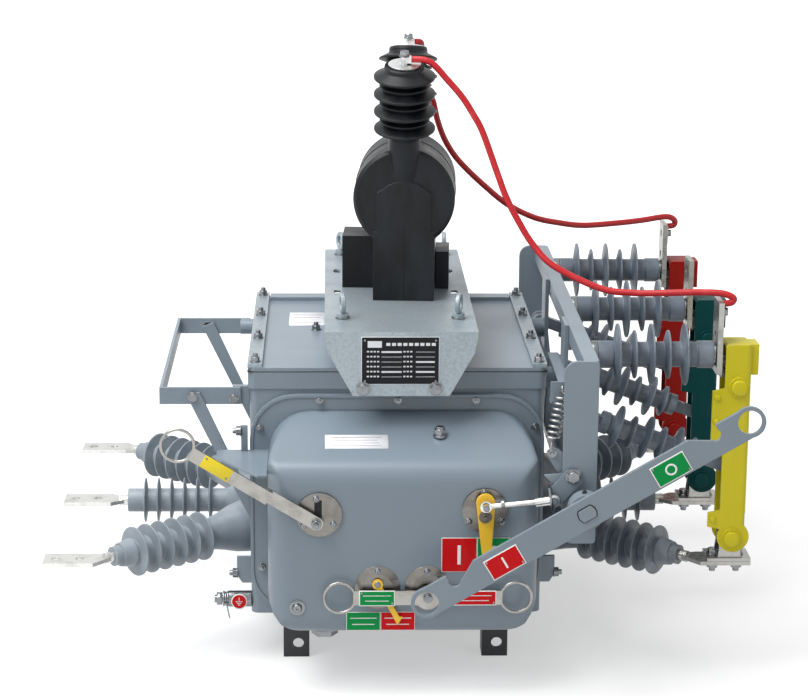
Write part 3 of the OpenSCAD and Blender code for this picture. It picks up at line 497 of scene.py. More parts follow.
def dress_nodes() -> None:
    """Gives every solid that stays in view its finish."""
    for finish, nodes in NODE_FINISHES.items():
        for node in nodes:
            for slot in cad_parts[node].material_slots:
                slot.material = finish.material()
            LOG.info("%s: %s", node, finish.name)


# ---------------------------------------------------------------- workshop


def only(*pieces: Piece) -> None:
    """Selects these pieces alone and makes the first one active."""
    bpy.ops.object.select_all(action="DESELECT")
    for piece in pieces:
        piece.select_set(True)
    bpy.context.view_layer.objects.active = pieces[0]


def rooted() -> Piece:
    """Applies a new primitive's place and scale to its mesh and returns it."""
    only(bpy.context.object)
    bpy.ops.object.transform_apply(location=True, rotation=True, scale=True)
    return bpy.context.object


def shown(name: str, data: bpy.types.ID) -> Piece:
    """Adds an object that shows this data to the scene."""
    obj = bpy.data.objects.new(name, data)
    bpy.context.scene.collection.objects.link(obj)
    return obj


def apply_modifier(obj: Piece, kind: str, **settings: object) -> Piece:
    """Adds a modifier and applies it.

    Args:
        obj: The mesh object.
        kind: The modifier's type.
        **settings: The modifier's own options.

    Returns:
        The same object.
    """
    only(obj)
    modifier = obj.modifiers.new(kind.lower(), kind)
    for key, value in settings.items():
        setattr(modifier, key, value)
    bpy.ops.object.modifier_apply(modifier=modifier.name)
    return obj


def soften(obj: Piece, width: float, segments: int = 2, angle: float = 30) -> Piece:
    """Rounds the edges of obj that are sharper than angle, by width in millimetres."""
    limit = {"limit_method": "ANGLE", "angle_limit": radians(angle)}
    return apply_modifier(obj, "BEVEL", width=width * MM, segments=segments, **limit)


def rod(radius: float, length: float, sides: int = 24, top: float | None = None) -> Piece:
    """Makes a round or many-sided bar that stands on the origin along Z, in millimetres.

    Args:
        radius: Its radius.
        length: Its length.
        sides: How many sides it has.
        top: The radius of its upper end, where that differs.

    Returns:
        The bar.
    """
    bpy.ops.object.select_all(action="DESELECT")
    bpy.ops.mesh.primitive_cone_add(
        vertices=sides,
        radius1=radius * MM,
        radius2=(radius if top is None else top) * MM,
        depth=length * MM,
        location=(0, 0, length / 2 * MM),
    )
    return rooted()


def slab(width: float, depth: float, height: float) -> Piece:
    """Makes a block with its base centred on the origin, in millimetres.

    Args:
        width: Its size along X.
        depth: Its size along Y.
        height: Its size along Z.

    Returns:
        The block.
    """
    bpy.ops.object.select_all(action="DESELECT")
    scale = (width * MM, depth * MM, height * MM)
    bpy.ops.mesh.primitive_cube_add(size=1, location=(0, 0, height / 2 * MM), scale=scale)
    return rooted()


def ring(radius: float, wire: float, turns: int) -> Piece:
    """Makes a ring of round wire that lies flat around the origin.

    Args:
        radius: The radius of the wire's middle line in millimetres.
        wire: The wire's radius.
        turns: How many faces go round it.

    Returns:
        The ring.
    """
    bpy.ops.object.select_all(action="DESELECT")
    bpy.ops.mesh.primitive_torus_add(
        major_radius=radius * MM, minor_radius=wire * MM, major_segments=turns, minor_segments=8
    )
    return rooted()


def tube(name: str, points: Sequence[Vector], radius: float, resolution: int) -> Piece:
    """Draws a round wire as a curve.

    Args:
        name: The name of the piece.
        points: The points it goes through in metres.
        radius: Its radius in millimetres.
        resolution: How finely it is rounded.

    Returns:
        The curve.
    """
    data = bpy.data.curves.new(name, "CURVE")
    data.dimensions = "3D"
    line = data.splines.new("POLY")
    line.points.add(len(points) - 1)
    for point, at in zip(line.points, points):
        point.co = (*at, 1.0)
    data.bevel_depth = radius * MM
    data.bevel_resolution = resolution
    data.use_fill_caps = True
    return shown(name, data)


def dished(obj: Piece, border: float, depth: float) -> Piece:
    """Sinks the top face of a piece inside a border.

    Args:
        obj: The piece, upright on the origin.
        border: The width of the border in millimetres.
        depth: How far the face sinks in millimetres.

    Returns:
        The same piece.
    """
    only(obj)
    bpy.ops.object.mode_set(mode="EDIT")
    bpy.ops.mesh.select_mode(type="FACE")
    bpy.ops.mesh.select_all(action="DESELECT")
    bpy.ops.object.mode_set(mode="OBJECT")
    near_top = max(v.co.z for v in obj.data.vertices) - 0.05 * MM
    for face in obj.data.polygons:
        face.select = face.normal.z > 0.9 and face.center.z > near_top
    bpy.ops.object.mode_set(mode="EDIT")
    bpy.ops.mesh.inset(thickness=border * MM, depth=0)
    bpy.ops.mesh.extrude_region_move(TRANSFORM_OT_translate={"value": (0, 0, -depth * MM)})
    bpy.ops.object.mode_set(mode="OBJECT")
    return obj


def joined(name: str, parts: Sequence[Piece]) -> Piece:
    """Makes one object of several.

    Args:
        name: The name of the result.
        parts: The objects to join; they are used up.

    Returns:
        The joined object.
    """
    only(*parts)
    if len(parts) > 1:
        bpy.ops.object.join()
    obj = bpy.context.view_layer.objects.active
    obj.name = obj.data.name = name
    return obj


TO_FRONT = (0.0, -1.0, 0.0)
TO_BACK = (0.0, 1.0, 0.0)
TO_LEFT = (-1.0, 0.0, 0.0)
TO_RIGHT = (1.0, 0.0, 0.0)
UP = (0.0, 0.0, 1.0)
DOWN = (0.0, 0.0, -1.0)


def tilted(obj: Piece, u: float, v: float, w: float = 0.0, spin: float = 0.0) -> Piece:
    """Turns a piece by spin degrees about its own Z and shifts it by u, v and w in millimetres."""
    turn = Matrix.Rotation(radians(spin), 4, "Z")
    obj.data.transform(Matrix.Translation(Vector((u, v, w)) * MM) @ turn)
    return obj


def moved(obj: Piece, at: Sequence[float], axis: Sequence[float] = UP, spin: float = 0.0) -> Piece:
    """Puts a piece in its place.

    Args:
        obj: The piece, on the origin.
        at: The place in millimetres.
        axis: Where its +Z goes.
        spin: Its turn about its own Z in degrees before that.

    Returns:
        The same piece.
    """
    turn = Vector(axis).normalized().to_track_quat("Z", "Y").to_matrix()
    turn = (turn @ Matrix.Rotation(radians(spin), 3, "Z")).to_4x4()
    obj.data.transform(Matrix.Translation(spot(*at)) @ turn)
    return obj


def fit(obj: Piece, name: str, finish: Finish, body: str = ROOT) -> None:
    """Finishes a piece: its name, finish, smooth shading and the body it rides on.

    Args:
        obj: The piece, in its place.
        name: Its name.
        finish: Its finish.
        body: The body it rides on.
    """
    obj.name = obj.data.name = name
    obj.data.materials.append(finish.material())
    only(obj)
    bpy.ops.object.shade_smooth_by_angle(angle=radians(32))
    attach(obj, body)
    LOG.info("%s: %s on %s", name, finish.name, body)


def spread(
    pattern: Piece,
    name: str,
    finish: Finish,
    places: Iterable[Place],
    body: str = ROOT,
    step: float = 17.0,
) -> None:
    """Copies a pattern to places and finishes the copies as one piece.

    Args:
        pattern: The piece to copy; it is used up.
        name: The name of the piece.
        finish: Its finish.
        places: Points in millimetres, each with the axis the copy points along.
        body: The body it rides on.
        step: The degrees by which each copy is spun more than the one before.
    """
    twins = []
    for i, (at, axis) in enumerate(places):
        twins.append(moved(shown("copy", pattern.data.copy()), at, axis, step * i))
    bpy.data.objects.remove(pattern)
    fit(joined(name, twins), name, finish, body)


# ---------------------------------------------------------------- fasteners and plates


class Head(Enum):
    """How a fastener ends."""

    BOLT = "hexagon head"
    NUT = "nut on a stud"
    PAN = "round head with a recess"


@dataclass(frozen=True)
class Fastener:
    """A fastener on its washer, standing on the origin; its parts are shares of its thread."""

    thread: float
    head: Head = Head.BOLT
    washer: float = 1.05

    def build(self) -> Piece:
        """Makes the washer and what stands on it."""
        d = self.thread
        rise = 0.16 * d
        parts = [soften(rod(self.washer * d, rise, 28), 0.04 * d)]
        if self.head is Head.PAN:
            pan = soften(rod(0.9 * d, rise + 0.55 * d, 24, top=0.62 * d), 0.1 * d)
            parts.append(dished(pan, 0.3 * d, 0.3 * d))
        else:
            tall = 0.66 if self.head is Head.BOLT else 0.82
            parts.append(soften(rod(0.92 * d, rise + tall * d, 6), 0.045 * d, 1))
        if self.head is Head.NUT:
            parts.append(soften(rod(0.5 * d, rise + 1.45 * d, 18), 0.1 * d))
        return joined("fastener", parts)

    def set(self, name: str, places: Iterable[Place], body: str = ROOT, finish: Finish = BRIGHT) -> None:
        """Puts copies of the fastener at places and finishes them as one piece.

        Args:
            name: The name of the piece.
            places: Points in millimetres, each with the axis the fastener points along.
            body: The body they ride on.
            finish: Their finish.
        """
        spread(self.build(), name, finish, places, body)


class Mark(Enum):
    """What a plate shows."""

    BARE = "nothing"
    CLOSED = "an upright bar"
    OPEN = "a ring"
    EARTH = "the earth sign"
    ROWS = "ruled rows"


@dataclass(frozen=True)
class Plate:
    """A flat sign or label with a border and a generic mark."""

    name: str
    width: float
    height: float
    face: Finish
    rim: Finish
    mark: Mark = Mark.BARE
    thick: float = 1.2
    border: float = 1.5
    rows: int = 2
    rivets: bool = False
    rivet_inset: float = 4.0

    def strokes(self) -> list[Piece]:
        """The raised strokes of the mark, about the middle of the plate."""
        tall = self.height * 0.56
        if self.mark is Mark.CLOSED:
            return [slab(tall * 0.17, tall, 0.4)]
        if self.mark is Mark.OPEN:
            hoop = ring(tall * 0.4, tall * 0.085, 48)
            hoop.data.transform(Matrix.Diagonal((1, 1, 0.3, 1)))
            return [hoop]
        if self.mark is Mark.EARTH:
            widths = ((0.8, 0), (0.52, -0.2), (0.24, -0.4))
            bars = [tilted(slab(tall * w, tall * 0.1, 0.4), 0, tall * v) for w, v in widths]
            return [*bars, tilted(slab(tall * 0.1, tall * 0.5, 0.4), 0, tall * 0.25)]
        step = self.height / (self.rows + 1)
        shares = [(0.78, 0.66, 0.72)[i % 3] for i in range(self.rows)]
        return [
            tilted(slab(self.width * share, step * 0.16, 0.3), 0, self.height / 2 - step * (i + 1))
            for i, share in enumerate(shares)
        ]

    def build(
        self, at: Sequence[float], axis: Sequence[float] = TO_FRONT, spin: float = 0.0, body: str = ROOT
    ) -> None:
        """Makes the plate, its coloured face and its mark.

        Args:
            at: The middle of the plate's back in millimetres.
            axis: The way the plate faces.
            spin: Its turn about that axis in degrees.
            body: The body it rides on.
        """
        layers = [("_plate", soften(slab(self.width, self.height, self.thick), 0.35), self.rim)]
        two_tone = self.face is not self.rim
        if two_tone:
            field = slab(self.width - 2 * self.border, self.height - 2 * self.border, 0.5)
            layers.append(("_face", tilted(soften(field, 0.15, 1), 0, 0, self.thick - 0.3), self.face))
        if self.mark is not Mark.BARE:
            lines = soften(joined("lines", self.strokes()), 0.1, 1)
            ink = self.rim if two_tone else LABEL_PRINT
            layers.append(("_mark", tilted(lines, 0, 0, self.thick + 0.1), ink))
        if self.rivets:
            u, v = self.width / 2 - self.rivet_inset, self.height / 2 - self.rivet_inset
            ends = ((-u, v), (u, -v))
            pins = [tilted(soften(rod(1.9, 1.0, 16, top=1.2), 0.3), *end, self.thick) for end in ends]
            layers.append(("_rivets", joined("pins", pins), BRIGHT))
        for ending, layer, finish in layers:
            fit(moved(layer, at, axis, spin), self.name + ending, finish, body)


# ---------------------------------------------------------------- sub-assemblies


class Assembly:
    """A sub-assembly: build makes its parts, and dress adds its marks and labels."""

    def build(self) -> None:
        """Makes the parts."""

    def dress(self) -> None:
        """Adds marks and labels; none by default."""


@dataclass
class TankFittings(Assembly):
    """What is fastened to the tank: cover nuts, flange screws, side bolts and the earth terminal."""

    strip_nut_x: float = 214.5
    strip_nut_y: tuple[float, ...] = (-232, -82, 77, 226)
    cover_skin: float = 6.0
    gasket: float = 1.5
    flange_screws: tuple[Pair, ...] = (
        (-118, 417), (0.5, 417), (119, 417), (-208, 374), (209, 375), (-206, 153), (206, 153), (-118, 88),
        (119, 88),
    )
    vent_nut: Pair = (-124, -2)
    label: Pair = (-139, 72)
    side_tab: Triple = (-231, -259, 339)
    side_bolt: Triple = (-235.8, -259, 371)
    lug_bolts: Pair = (-233.0, 136.0)
    earth_x: float = -258.4
    sign_x: float = -242.0

    def build(self) -> None:
        """Makes the fasteners, the gasket and the small brackets."""
        strip = mm_box("cover_strips")[1].z
        places = [((s * self.strip_nut_x, y, strip), UP) for s in (-1, 1) for y in self.strip_nut_y]
        Fastener(8, Head.NUT).set("cover_strip_nuts", places)
        low, high = mm_box("top_cover")
        edge = slab(high.x - low.x + 0.7, high.y - low.y + 0.7, self.gasket)
        moved(soften(edge, 3, 3, 60), (0, (low.y + high.y) / 2, low.z - 0.9))
        fit(edge, "cover_gasket", GASKET)
        tank_low, tank_high = mm_box("tank")
        front = max(mm_box("cover_flange")[0].y, tank_low.y - 8) + 2
        Fastener(6, Head.NUT).set("flange_screws", [((x, front, z), TO_FRONT) for x, z in self.flange_screws])
        tab = soften(slab(10, 5, 41), 1.2)
        fit(moved(tab, self.side_tab), "flange_side_tab", GREY_COAT)
        places = [(self.side_bolt, TO_LEFT)]
        for x, way in ((1 - tank_high.x, TO_LEFT), (tank_high.x - 1, TO_RIGHT)):
            places.append(((x, *self.lug_bolts), way))
        Fastener(8, Head.NUT).set("side_bolts", places)
        self.earth()
        Fastener(8, Head.NUT).set("cover_vent_nut", [((*self.vent_nut, low.z + self.cover_skin), UP)])

    def earth(self) -> None:
        """The nut, washers and wire tag of the earth terminal."""
        low, high = mm_box("earth_terminal")
        y, z = (low.y + high.y) / 2, (low.z + high.z) / 2
        parts = []
        for i, (radius, thick) in enumerate(((12.0, 2.4), (11.0, 2.6), (12.0, 2.4))):
            disc = soften(rod(radius, thick, 32), 0.5)
            parts.append(moved(disc, (self.earth_x - 3.2 * i, y, z), TO_LEFT))
        parts.append(moved(soften(rod(10.6, 8.5, 6), 0.9), (self.earth_x - 10, y, z), TO_LEFT))
        fit(joined("washers", parts), "earth_washers_and_nut", BRIGHT)
        tag = joined("tag", [soften(rod(1.1, 26, 10), 0.3), soften(rod(3.2, 1.2, 20), 0.3)])
        fit(moved(tag, (-262, y - 12, z - 2), (0.2, 0, -1)), "earth_wire_tag", BRIGHT)

    def dress(self) -> None:
        """Adds the earth sign and the sticker on the top cover."""
        low, high = mm_box("earth_terminal")
        z = (low.z + high.z) / 2
        sign = Plate("earth", 24, 24, RED_ENAMEL, WHITE_ENAMEL, Mark.EARTH)
        for name, layer, lift, finish in (
            ("earth_sign_plate", soften(rod(12.4, 1.4, 40), 0.4), 0.6, WHITE_ENAMEL),
            ("earth_sign_face", soften(rod(10.9, 0.5, 40), 0.15, 1), 1.7, RED_ENAMEL),
            ("earth_sign_mark", joined("marks", sign.strokes()), 2.1, WHITE_ENAMEL),
        ):
            fit(moved(layer, (self.sign_x, low.y - lift, z), TO_FRONT), name, finish)
        label = Plate("cover_label", 58, 92, LABEL_WHITE, LABEL_WHITE, Mark.ROWS, thick=0.5, rows=4)
        label.build((*self.label, mm_box("top_cover")[0].z + self.cover_skin), UP)


@dataclass
class MechanismFittings(Assembly):
    """What sits on the mechanism cover: disc screws, vent, signs and the levers' own hardware."""

    disc_screws: tuple[Pair, ...] = (
        (-122.7, 307), (-97, 268), (-141, 266), (101, 272), (149, 272), (124, 316)
    )
    dome_screws: tuple[Pair, ...] = ((-31.8, 195), (41, 194))
    disc_rise: float = 4.0
    charging_slot: Pair = (-119.5, 291)
    washer_screw: Pair = (-150.5, 137.5)
    vent: Triple = (61.5, -317.5, 377.5)
    charging_pivot: Triple = (-122, -407.3, 272)
    pointer_pivot: Triple = (125, -407.3, 282)
    pointer_pin: Triple = (125, -427, 301)
    energy_pivot: Triple = (-32, -402.3, 176)
    energy_tip: Triple = (-2.2, -399.4, 121.5)
    trip_x: float = 42.0
    trip_z: float = 157.0
    sign_z: float = 219.0
    state_z: float = 116.0

    def face(self) -> float:
        """The y of the cover's face, on which the discs stand."""
        return mm_box("mechanism_discs")[1].y

    def build(self) -> None:
        """Makes the screws, the slot, the vent plug and the pivots' nuts."""
        face = self.face()
        places = [((x, face - self.disc_rise, z), TO_FRONT) for x, z in self.disc_screws]
        places += [((x, face - self.disc_rise - 0.2, z), TO_FRONT) for x, z in self.dome_screws]
        Fastener(5.5, Head.PAN).set("disc_screws", places)
        x, z = self.charging_slot
        # A thin black sheet stands for the slot's recess: painted shade
        slot = soften(slab(11, 27, 0.5), 0.2, 1)
        fit(moved(slot, (x, face - self.disc_rise + 0.2, z), TO_FRONT), "charging_disc_slot", GASKET)
        x, z = self.washer_screw
        Fastener(9, Head.PAN, washer=1.35).set("washer_screw", [((x, face, z), TO_FRONT)])
        cap = dished(soften(rod(7.6, 17, 28, top=6.4), 1.2), 2.2, 2.0)
        plug = joined("plug", [soften(rod(9.5, 13, 6), 0.9), soften(rod(10.5, 4, 32), 0.8), cap])
        fit(moved(plug, self.vent), "vent_plug", BRIGHT)
        self.pivots()

    def pivots(self) -> None:
        """Nuts on the pivots of the handle, the trip lever and the pointers."""
        nut = Fastener(8, Head.NUT, washer=1.0)
        nut.set("charging_pivot_nut", [(self.charging_pivot, TO_FRONT)], "charging")
        nut = Fastener(8, Head.NUT, washer=1.2)
        nut.set("pointer_pivot_nut", [(self.pointer_pivot, TO_FRONT)], "pointer", DARK_STEEL)
        # Flush, because the trip lever swings past 1 mm in front of it
        flush = dished(rod(4.8, 0.7, 24, top=4.0), 1.2, 0.4)
        spread(flush, "energy_pivot_screw", BRIGHT, [(self.energy_pivot, TO_FRONT)], "energy")
        lever = mm_box("trip_lever")[0].y
        Fastener(7).set("trip_pivot_bolt", [((self.trip_x, lever, self.trip_z), TO_FRONT)], "trip")
        pin = soften(rod(4.9, 3, 24), 0.6)
        fit(moved(pin, self.pointer_pin, TO_FRONT), "pointer_pin_head", BRIGHT, "pointer")

    def dress(self) -> None:
        """Adds the signs, the labels and the energy pointer's tip."""
        y = self.face()
        for name, width, height, face, mark, x, z in (
            ("closed_sign", 52, 53, RED_ENAMEL, Mark.CLOSED, 88, self.sign_z),
            ("open_sign", 48, 53, GREEN_ENAMEL, Mark.OPEN, 138.4, self.sign_z),
            ("discharged_sign", 50.5, 29, GREEN_ENAMEL, Mark.ROWS, -52.8, self.state_z),
            ("charged_sign", 51, 29, RED_ENAMEL, Mark.ROWS, -1.7, self.state_z),
        ):
            Plate(name, width, height, face, WHITE_ENAMEL, mark, border=0.8).build((x, y, z))
        lever = mm_box("trip_lever")[0].y + 0.5
        for name, width, height, face, x in (
            ("trip_left_sign", 53, 24, GREEN_ENAMEL, -33),
            ("trip_right_sign", 66, 23, RED_ENAMEL, 110),
        ):
            sign = Plate(name, width, height, face, WHITE_ENAMEL, Mark.ROWS, rivets=True)
            sign.build((x, lever, self.trip_z), body="trip")
        label = Plate("handle_label", 47, 19.5, LABEL_YELLOW, LABEL_YELLOW, thick=0.8, rivets=True)
        label.build((-265.8, -419.4, 360.4), spin=-31.5, body="charging")
        label = Plate("slope_label", 94, 33, LABEL_WHITE, LABEL_WHITE, Mark.ROWS, thick=0.4, rows=4)
        label.build((-62.5, -330.2, 374.1), (0.0, -0.379, 0.925))
        tip = tilted(soften(rod(8.5, 3, 3), 0.5), 0, 0, 0, 30)
        fit(moved(tip, self.energy_tip, TO_FRONT, 29), "energy_pointer_tip", POINTER_COAT, "energy")


@dataclass(frozen=True)
class Caps:
    """The transformer's two leaning caps, from the middle of its casting, in millimetres and degrees."""

    lean: float = 13.4
    out: float = 78.0
    up: float = 58.0
    reach: float = 159.0
    above_bracket: float = 160.0

    def top(self) -> Pair:
        """How far to the side and how high the caps' plates are."""
        lean = radians(self.lean)
        middle = mm_box("transformer_bracket")[1].z + self.above_bracket
        return self.out + self.reach * sin(lean), middle + self.up + self.reach * cos(lean)


CAPS = Caps()


@dataclass
class TransformerFittings(Assembly):
    """The transformer's bolts, nameplate, casting line and the hardware on its caps."""

    turn: float = radians(3.3)
    middle: Pair = (18.0, 695.0)
    skirt_z: float = 448.5
    eyes: tuple[Pair, ...] = ((-83, -214), (93, -214), (-83, 262), (93, 262))
    spare_slots: tuple[Pair, ...] = ((-92, 124), (95, 124), (-90, -32), (97, -32))
    pedestal_front: float = -96.0
    plate_x: float = 2.2
    plate_z: float = 491.5

    def build(self) -> None:
        """Makes the bolts, the slot plugs, the cap nuts and the casting lines."""
        low, high = mm_box("transformer_bracket")
        skirt = [((x, low.y, self.skirt_z), TO_FRONT) for x in (-52.6, 55.2)]
        skirt += [((x, -low.y, self.skirt_z), TO_BACK) for x in (-50, 58)]
        Fastener(9.5, washer=1.12).set("bracket_bolts", skirt)
        base = mm_box("transformer_body")[0].z
        places = [((x, y, base - 0.2), UP) for x, y in self.eyes]
        spread(soften(rod(11, 2.2, 32), 0.5), "eye_washers", BRIGHT, places)
        places = [((x, y, high.z - 0.2), UP) for x, y in self.spare_slots]
        spread(soften(slab(9, 4, 0.8), 1.6, 3), "bracket_slot_plugs", GASKET, places, step=0.0)
        self.caps()
        x, z = self.middle
        line = ring(79.2, 0.7, 96)
        fit(moved(line, (x, 0, z), (sin(self.turn), cos(self.turn), 0)), "casting_seam", EPOXY)
        ridge = soften(slab(0.9, 1.2, 118), 0.3, 1)
        x += self.pedestal_front * sin(self.turn)
        at = (x, self.pedestal_front * cos(self.turn), base + 4)
        fit(moved(ridge, at), "pedestal_seam", EPOXY)

    def caps(self) -> None:
        """A nut on its washer on top of each cap's stud."""
        parts = []
        lean = radians(CAPS.lean)
        x, z = self.middle
        for side in (-1, 1):
            out = side * Vector((sin(self.turn), cos(self.turn), 0))
            axis = out * sin(lean) + Vector((0, 0, cos(lean)))
            root = Vector((x, 0, z)) + out * CAPS.out + Vector((0, 0, CAPS.up))
            for radius, height, lift, sides in ((8.2, 1.8, 11.8, 32), (7.4, 6.2, 13.4, 6)):
                piece = soften(rod(radius, height, sides), 0.5)
                parts.append(moved(piece, root + axis * (CAPS.reach + lift), axis, 10))
        fit(joined("nuts", parts), "cap_nuts", BRIGHT)

    def dress(self) -> None:
        """Adds the rating plate, bare but for its ruled rows."""
        at = (self.plate_x, mm_box("transformer_bracket")[0].y, self.plate_z)
        for name, layer, finish in (
            ("rating_plate", soften(slab(116, 73, 1.0), 0.4), TIN_PLATE),
            ("rating_plate_face", tilted(soften(slab(114, 71, 0.4), 0.1, 1), 0, 0, 0.8), BLACK_INK),
            ("rating_plate_rows", self.rows(), TIN_PLATE),
            ("rating_plate_rivets", self.pins(), BRIGHT),
        ):
            fit(moved(layer, at, TO_FRONT), name, finish)

    def pins(self) -> Piece:
        """The rivets in the rating plate's corners."""
        spots = [(u, v) for u in (-52.5, 52.5) for v in (-31, 31)]
        return joined("pins", [tilted(soften(rod(2.2, 2.2, 16, top=1.5), 0.3), u, v) for u, v in spots])

    def rows(self) -> Piece:
        """The raised blocks and rules of the rating plate."""
        blocks = [(21, 10, -38, 25)]
        blocks += [(6, 4.5, -18 + 8.4 * i, 25) for i in range(9)]
        for i in range(6):
            v = 14 - 7.6 * i
            blocks += [(3.2, 2.2, u + 5.0 * k, v) for u, count in ((-48, 4), (6, 3)) for k in range(count)]
            for wide, u, filled in ((30, -13, (0, 4)), (28, 37, (2, 4))):
                blocks.append((wide, 2.6 if i in filled else 0.6, u, v - 0.6))
        table = joined("rows", [tilted(slab(w, h, 0.3), u, v, 1.1) for w, h, u, v in blocks])
        return soften(table, 0.08, 1)


@dataclass
class SideFrameFittings(Assembly):
    """The bolts of the arrester bracket on the left wall."""

    bolt: float = 7.5

    def build(self) -> None:
        """Makes its bolts."""
        places = [((-247, -230.6, 413.5), TO_FRONT), ((-309, -235.8, 418), TO_FRONT)]
        places.append(((-309, 225.2, 418), TO_BACK))
        Fastener(self.bolt).set("side_frame_bolts", places)


@dataclass
class TerminalFittings(Assembly):
    """Bolts of the hinges, collars of the posts and lugs of the leads at the terminals."""

    phases: Triple = (-300.0, 0.0, 300.0)
    post_z: float = 500.0
    lug_x: float = 478.0

    def build(self) -> None:
        """Makes the hinge bolts, the posts' collars, the lugs and their bolts."""
        hinge = mm_box("blade_hinges")[0].z
        reach = mm_box("load_terminals")[1].x
        spots = [(reach - 18 - 36 * i, y) for y in self.phases for i in (0, 1)]
        Fastener(10).set("hinge_bolts", [((x, y, hinge + 5), UP) for x, y in spots])
        Fastener(10, Head.NUT).set("hinge_nuts", [((x, y, 177), DOWN) for x, y in spots])
        for name, x, collar in (
            ("post_collars", 285.4, soften(rod(20.5, 9.2, 40), 1.0)),
            ("post_washers", 466.4, soften(rod(17.5, 3.2, 36), 0.7)),
        ):
            spread(collar, name, BRIGHT, [((x, y, self.post_z), TO_RIGHT) for y in self.phases])
        outer = (self.phases[0], self.phases[2])
        for name, y in zip(("front_lead_lug", "rear_lead_lug"), outer):
            tongue = soften(slab(17, 30, 3), 0.8)
            fit(moved(tongue, (self.lug_x, y, 563), TO_RIGHT), name, TINNED)
        Fastener(7).set("lead_bolts", [((self.lug_x + 3, y, 565), TO_RIGHT) for y in outer])


@dataclass
class IsolatorFittings(Assembly):
    """The isolator's spring, handle signs, shaft end and interlock hardware."""

    coil: float = 8.9
    wire: float = 1.9
    turns: int = 8
    steps: int = 22
    sign_drop: float = 3.0
    handle_angle: float = 30.6
    shaft: Pair = (266.5, 308.0)
    face_behind: float = 3.0
    interlock_pivot: Triple = (250, -425, 349)
    spring_pin: Triple = (220, -412, 381)
    side_arm: Triple = (223, -417.5, 345)
    rod_way: Triple = (1, -0.155, 0.186)
    rod_plate: Triple = (217, -432.5, 317.6)
    rod_nut: Triple = (147, -418.6, 305.0)
    cover_rivets: Triple = (440, 403, 251)

    def face(self) -> float:
        """The y of the main handle's flat face, a little behind its most forward point."""
        return mm_box("main_handle")[0].y + self.face_behind

    def build(self) -> None:
        """Makes the spring, bolts and rod hardware."""
        self.spring()
        pivot = Fastener(10, washer=1.15)
        pivot.set("interlock_pivot_bolt", [(self.interlock_pivot, TO_FRONT)], "interlock")
        Fastener(7, Head.NUT).set("spring_pin_nut", [(self.spring_pin, TO_FRONT)], "interlock")
        # A pointed plate that stands out from the interlock lever towards the tank
        arm = soften(rod(15, 3, 3), 0.8)
        arm.data.transform(Matrix.Diagonal((1.15, 0.85, 1, 1)) @ Matrix.Rotation(radians(60), 4, "Z"))
        fit(moved(arm, self.side_arm, TO_FRONT, 6), "interlock_side_arm", GREY_COAT, "interlock")
        plate = soften(slab(37, 19, 3.4), 1.0)
        fit(moved(plate, self.rod_plate, self.rod_way, 90), "rod_end_plate", BRIGHT, "link")
        nut = soften(rod(6.4, 6, 6), 0.7)
        fit(moved(nut, self.rod_nut, self.rod_way), "rod_lock_nut", BRIGHT, "link")
        self.shaft_end()
        self.covers()

    def spring(self) -> None:
        """The coil between the interlock lever and its shelf, with a hook at each end."""
        low, high = Vector((221, -400, 398)), Vector((234, -400, 466))
        side = Vector((0, 1, 0))
        across = (high - low).normalized().cross(side)
        path = [Vector((220, -400, 382)), Vector((220, -400, 391))]
        for i in range(self.turns * self.steps + 1):
            angle = 2 * pi * i / self.steps
            middle = low.lerp(high, i / (self.turns * self.steps))
            path.append(middle + self.coil * (cos(angle) * side + sin(angle) * across))
        path += [Vector((235, -394, 470)), Vector((235, -389, 474))]
        only(tube("coil_spring", [spot(*at) for at in path], self.wire, 3))
        bpy.ops.object.convert(target="MESH")
        obj = bpy.context.object
        obj.data.materials.clear()
        obj.data.materials.append(SPRING_WIRE.material())
        bpy.ops.object.shade_smooth()
        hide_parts("return_spring")
        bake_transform(obj)
        LOG.info("coil_spring: %d turns", self.turns)

    def shaft_end(self) -> None:
        """The seam round the flattened end of the shaft, and the hub's set screw."""
        x, z = self.shaft
        flats = slab(40, 21.4, 2)
        cut = {"object": flats, "operation": "INTERSECT", "solver": "EXACT"}
        seam = apply_modifier(rod(14.6, 0.5, 48), "BOOLEAN", **cut)
        bpy.data.objects.remove(flats)
        at = (x, self.face() + 0.2, z)
        fit(moved(seam, at, TO_FRONT, self.handle_angle), "shaft_end_seam", GASKET, "isolator")
        screw = soften(rod(3.4, 2.4, 20), 0.5)
        fit(moved(screw, (x - 3, -457, z + 26.5), (0, -0.7, 0.7)), "hub_set_screw", GASKET, "isolator")

    def covers(self) -> None:
        """Rivets on the side lugs of the blade covers."""
        finishes = {"front": YELLOW_SHELL, "middle": GREEN_SHELL, "rear": RED_SHELL}
        for (phase, finish), y in zip(finishes.items(), (-300, 0, 300)):
            rivets = [((472, y - 26, z), TO_FRONT) for z in self.cover_rivets]
            head = soften(rod(5.2, 3.4, 24, top=4.2), 0.9)
            spread(head, phase + "_cover_rivets", finish, rivets, phase + "_blade_unit")
            bosses = [((501, y - 30, 221), TO_FRONT), ((504, y - 30, 456), TO_FRONT)]
            boss = soften(rod(12.0, 5.0, 32), 2.2, 3)
            spread(boss, phase + "_cover_caps", finish, bosses, phase + "_blade_unit")

    def dress(self) -> None:
        """Adds the two signs on the main handle."""
        angle = radians(self.handle_angle)
        x = self.shaft[0] + self.sign_drop * sin(angle)
        z = self.shaft[1] - self.sign_drop * cos(angle)
        for name, colour, mark, along in (
            ("handle_open_sign", GREEN_ENAMEL, Mark.OPEN, 135.5),
            ("handle_closed_sign", RED_ENAMEL, Mark.CLOSED, -138),
        ):
            at = (x + along * cos(angle), self.face(), z + along * sin(angle))
            plate = Plate(name, 54, 33, colour, WHITE_ENAMEL, mark, rivets=True)
            plate.build(at, TO_FRONT, self.handle_angle, "isolator")


# ---------------------------------------------------------------- camera and studio


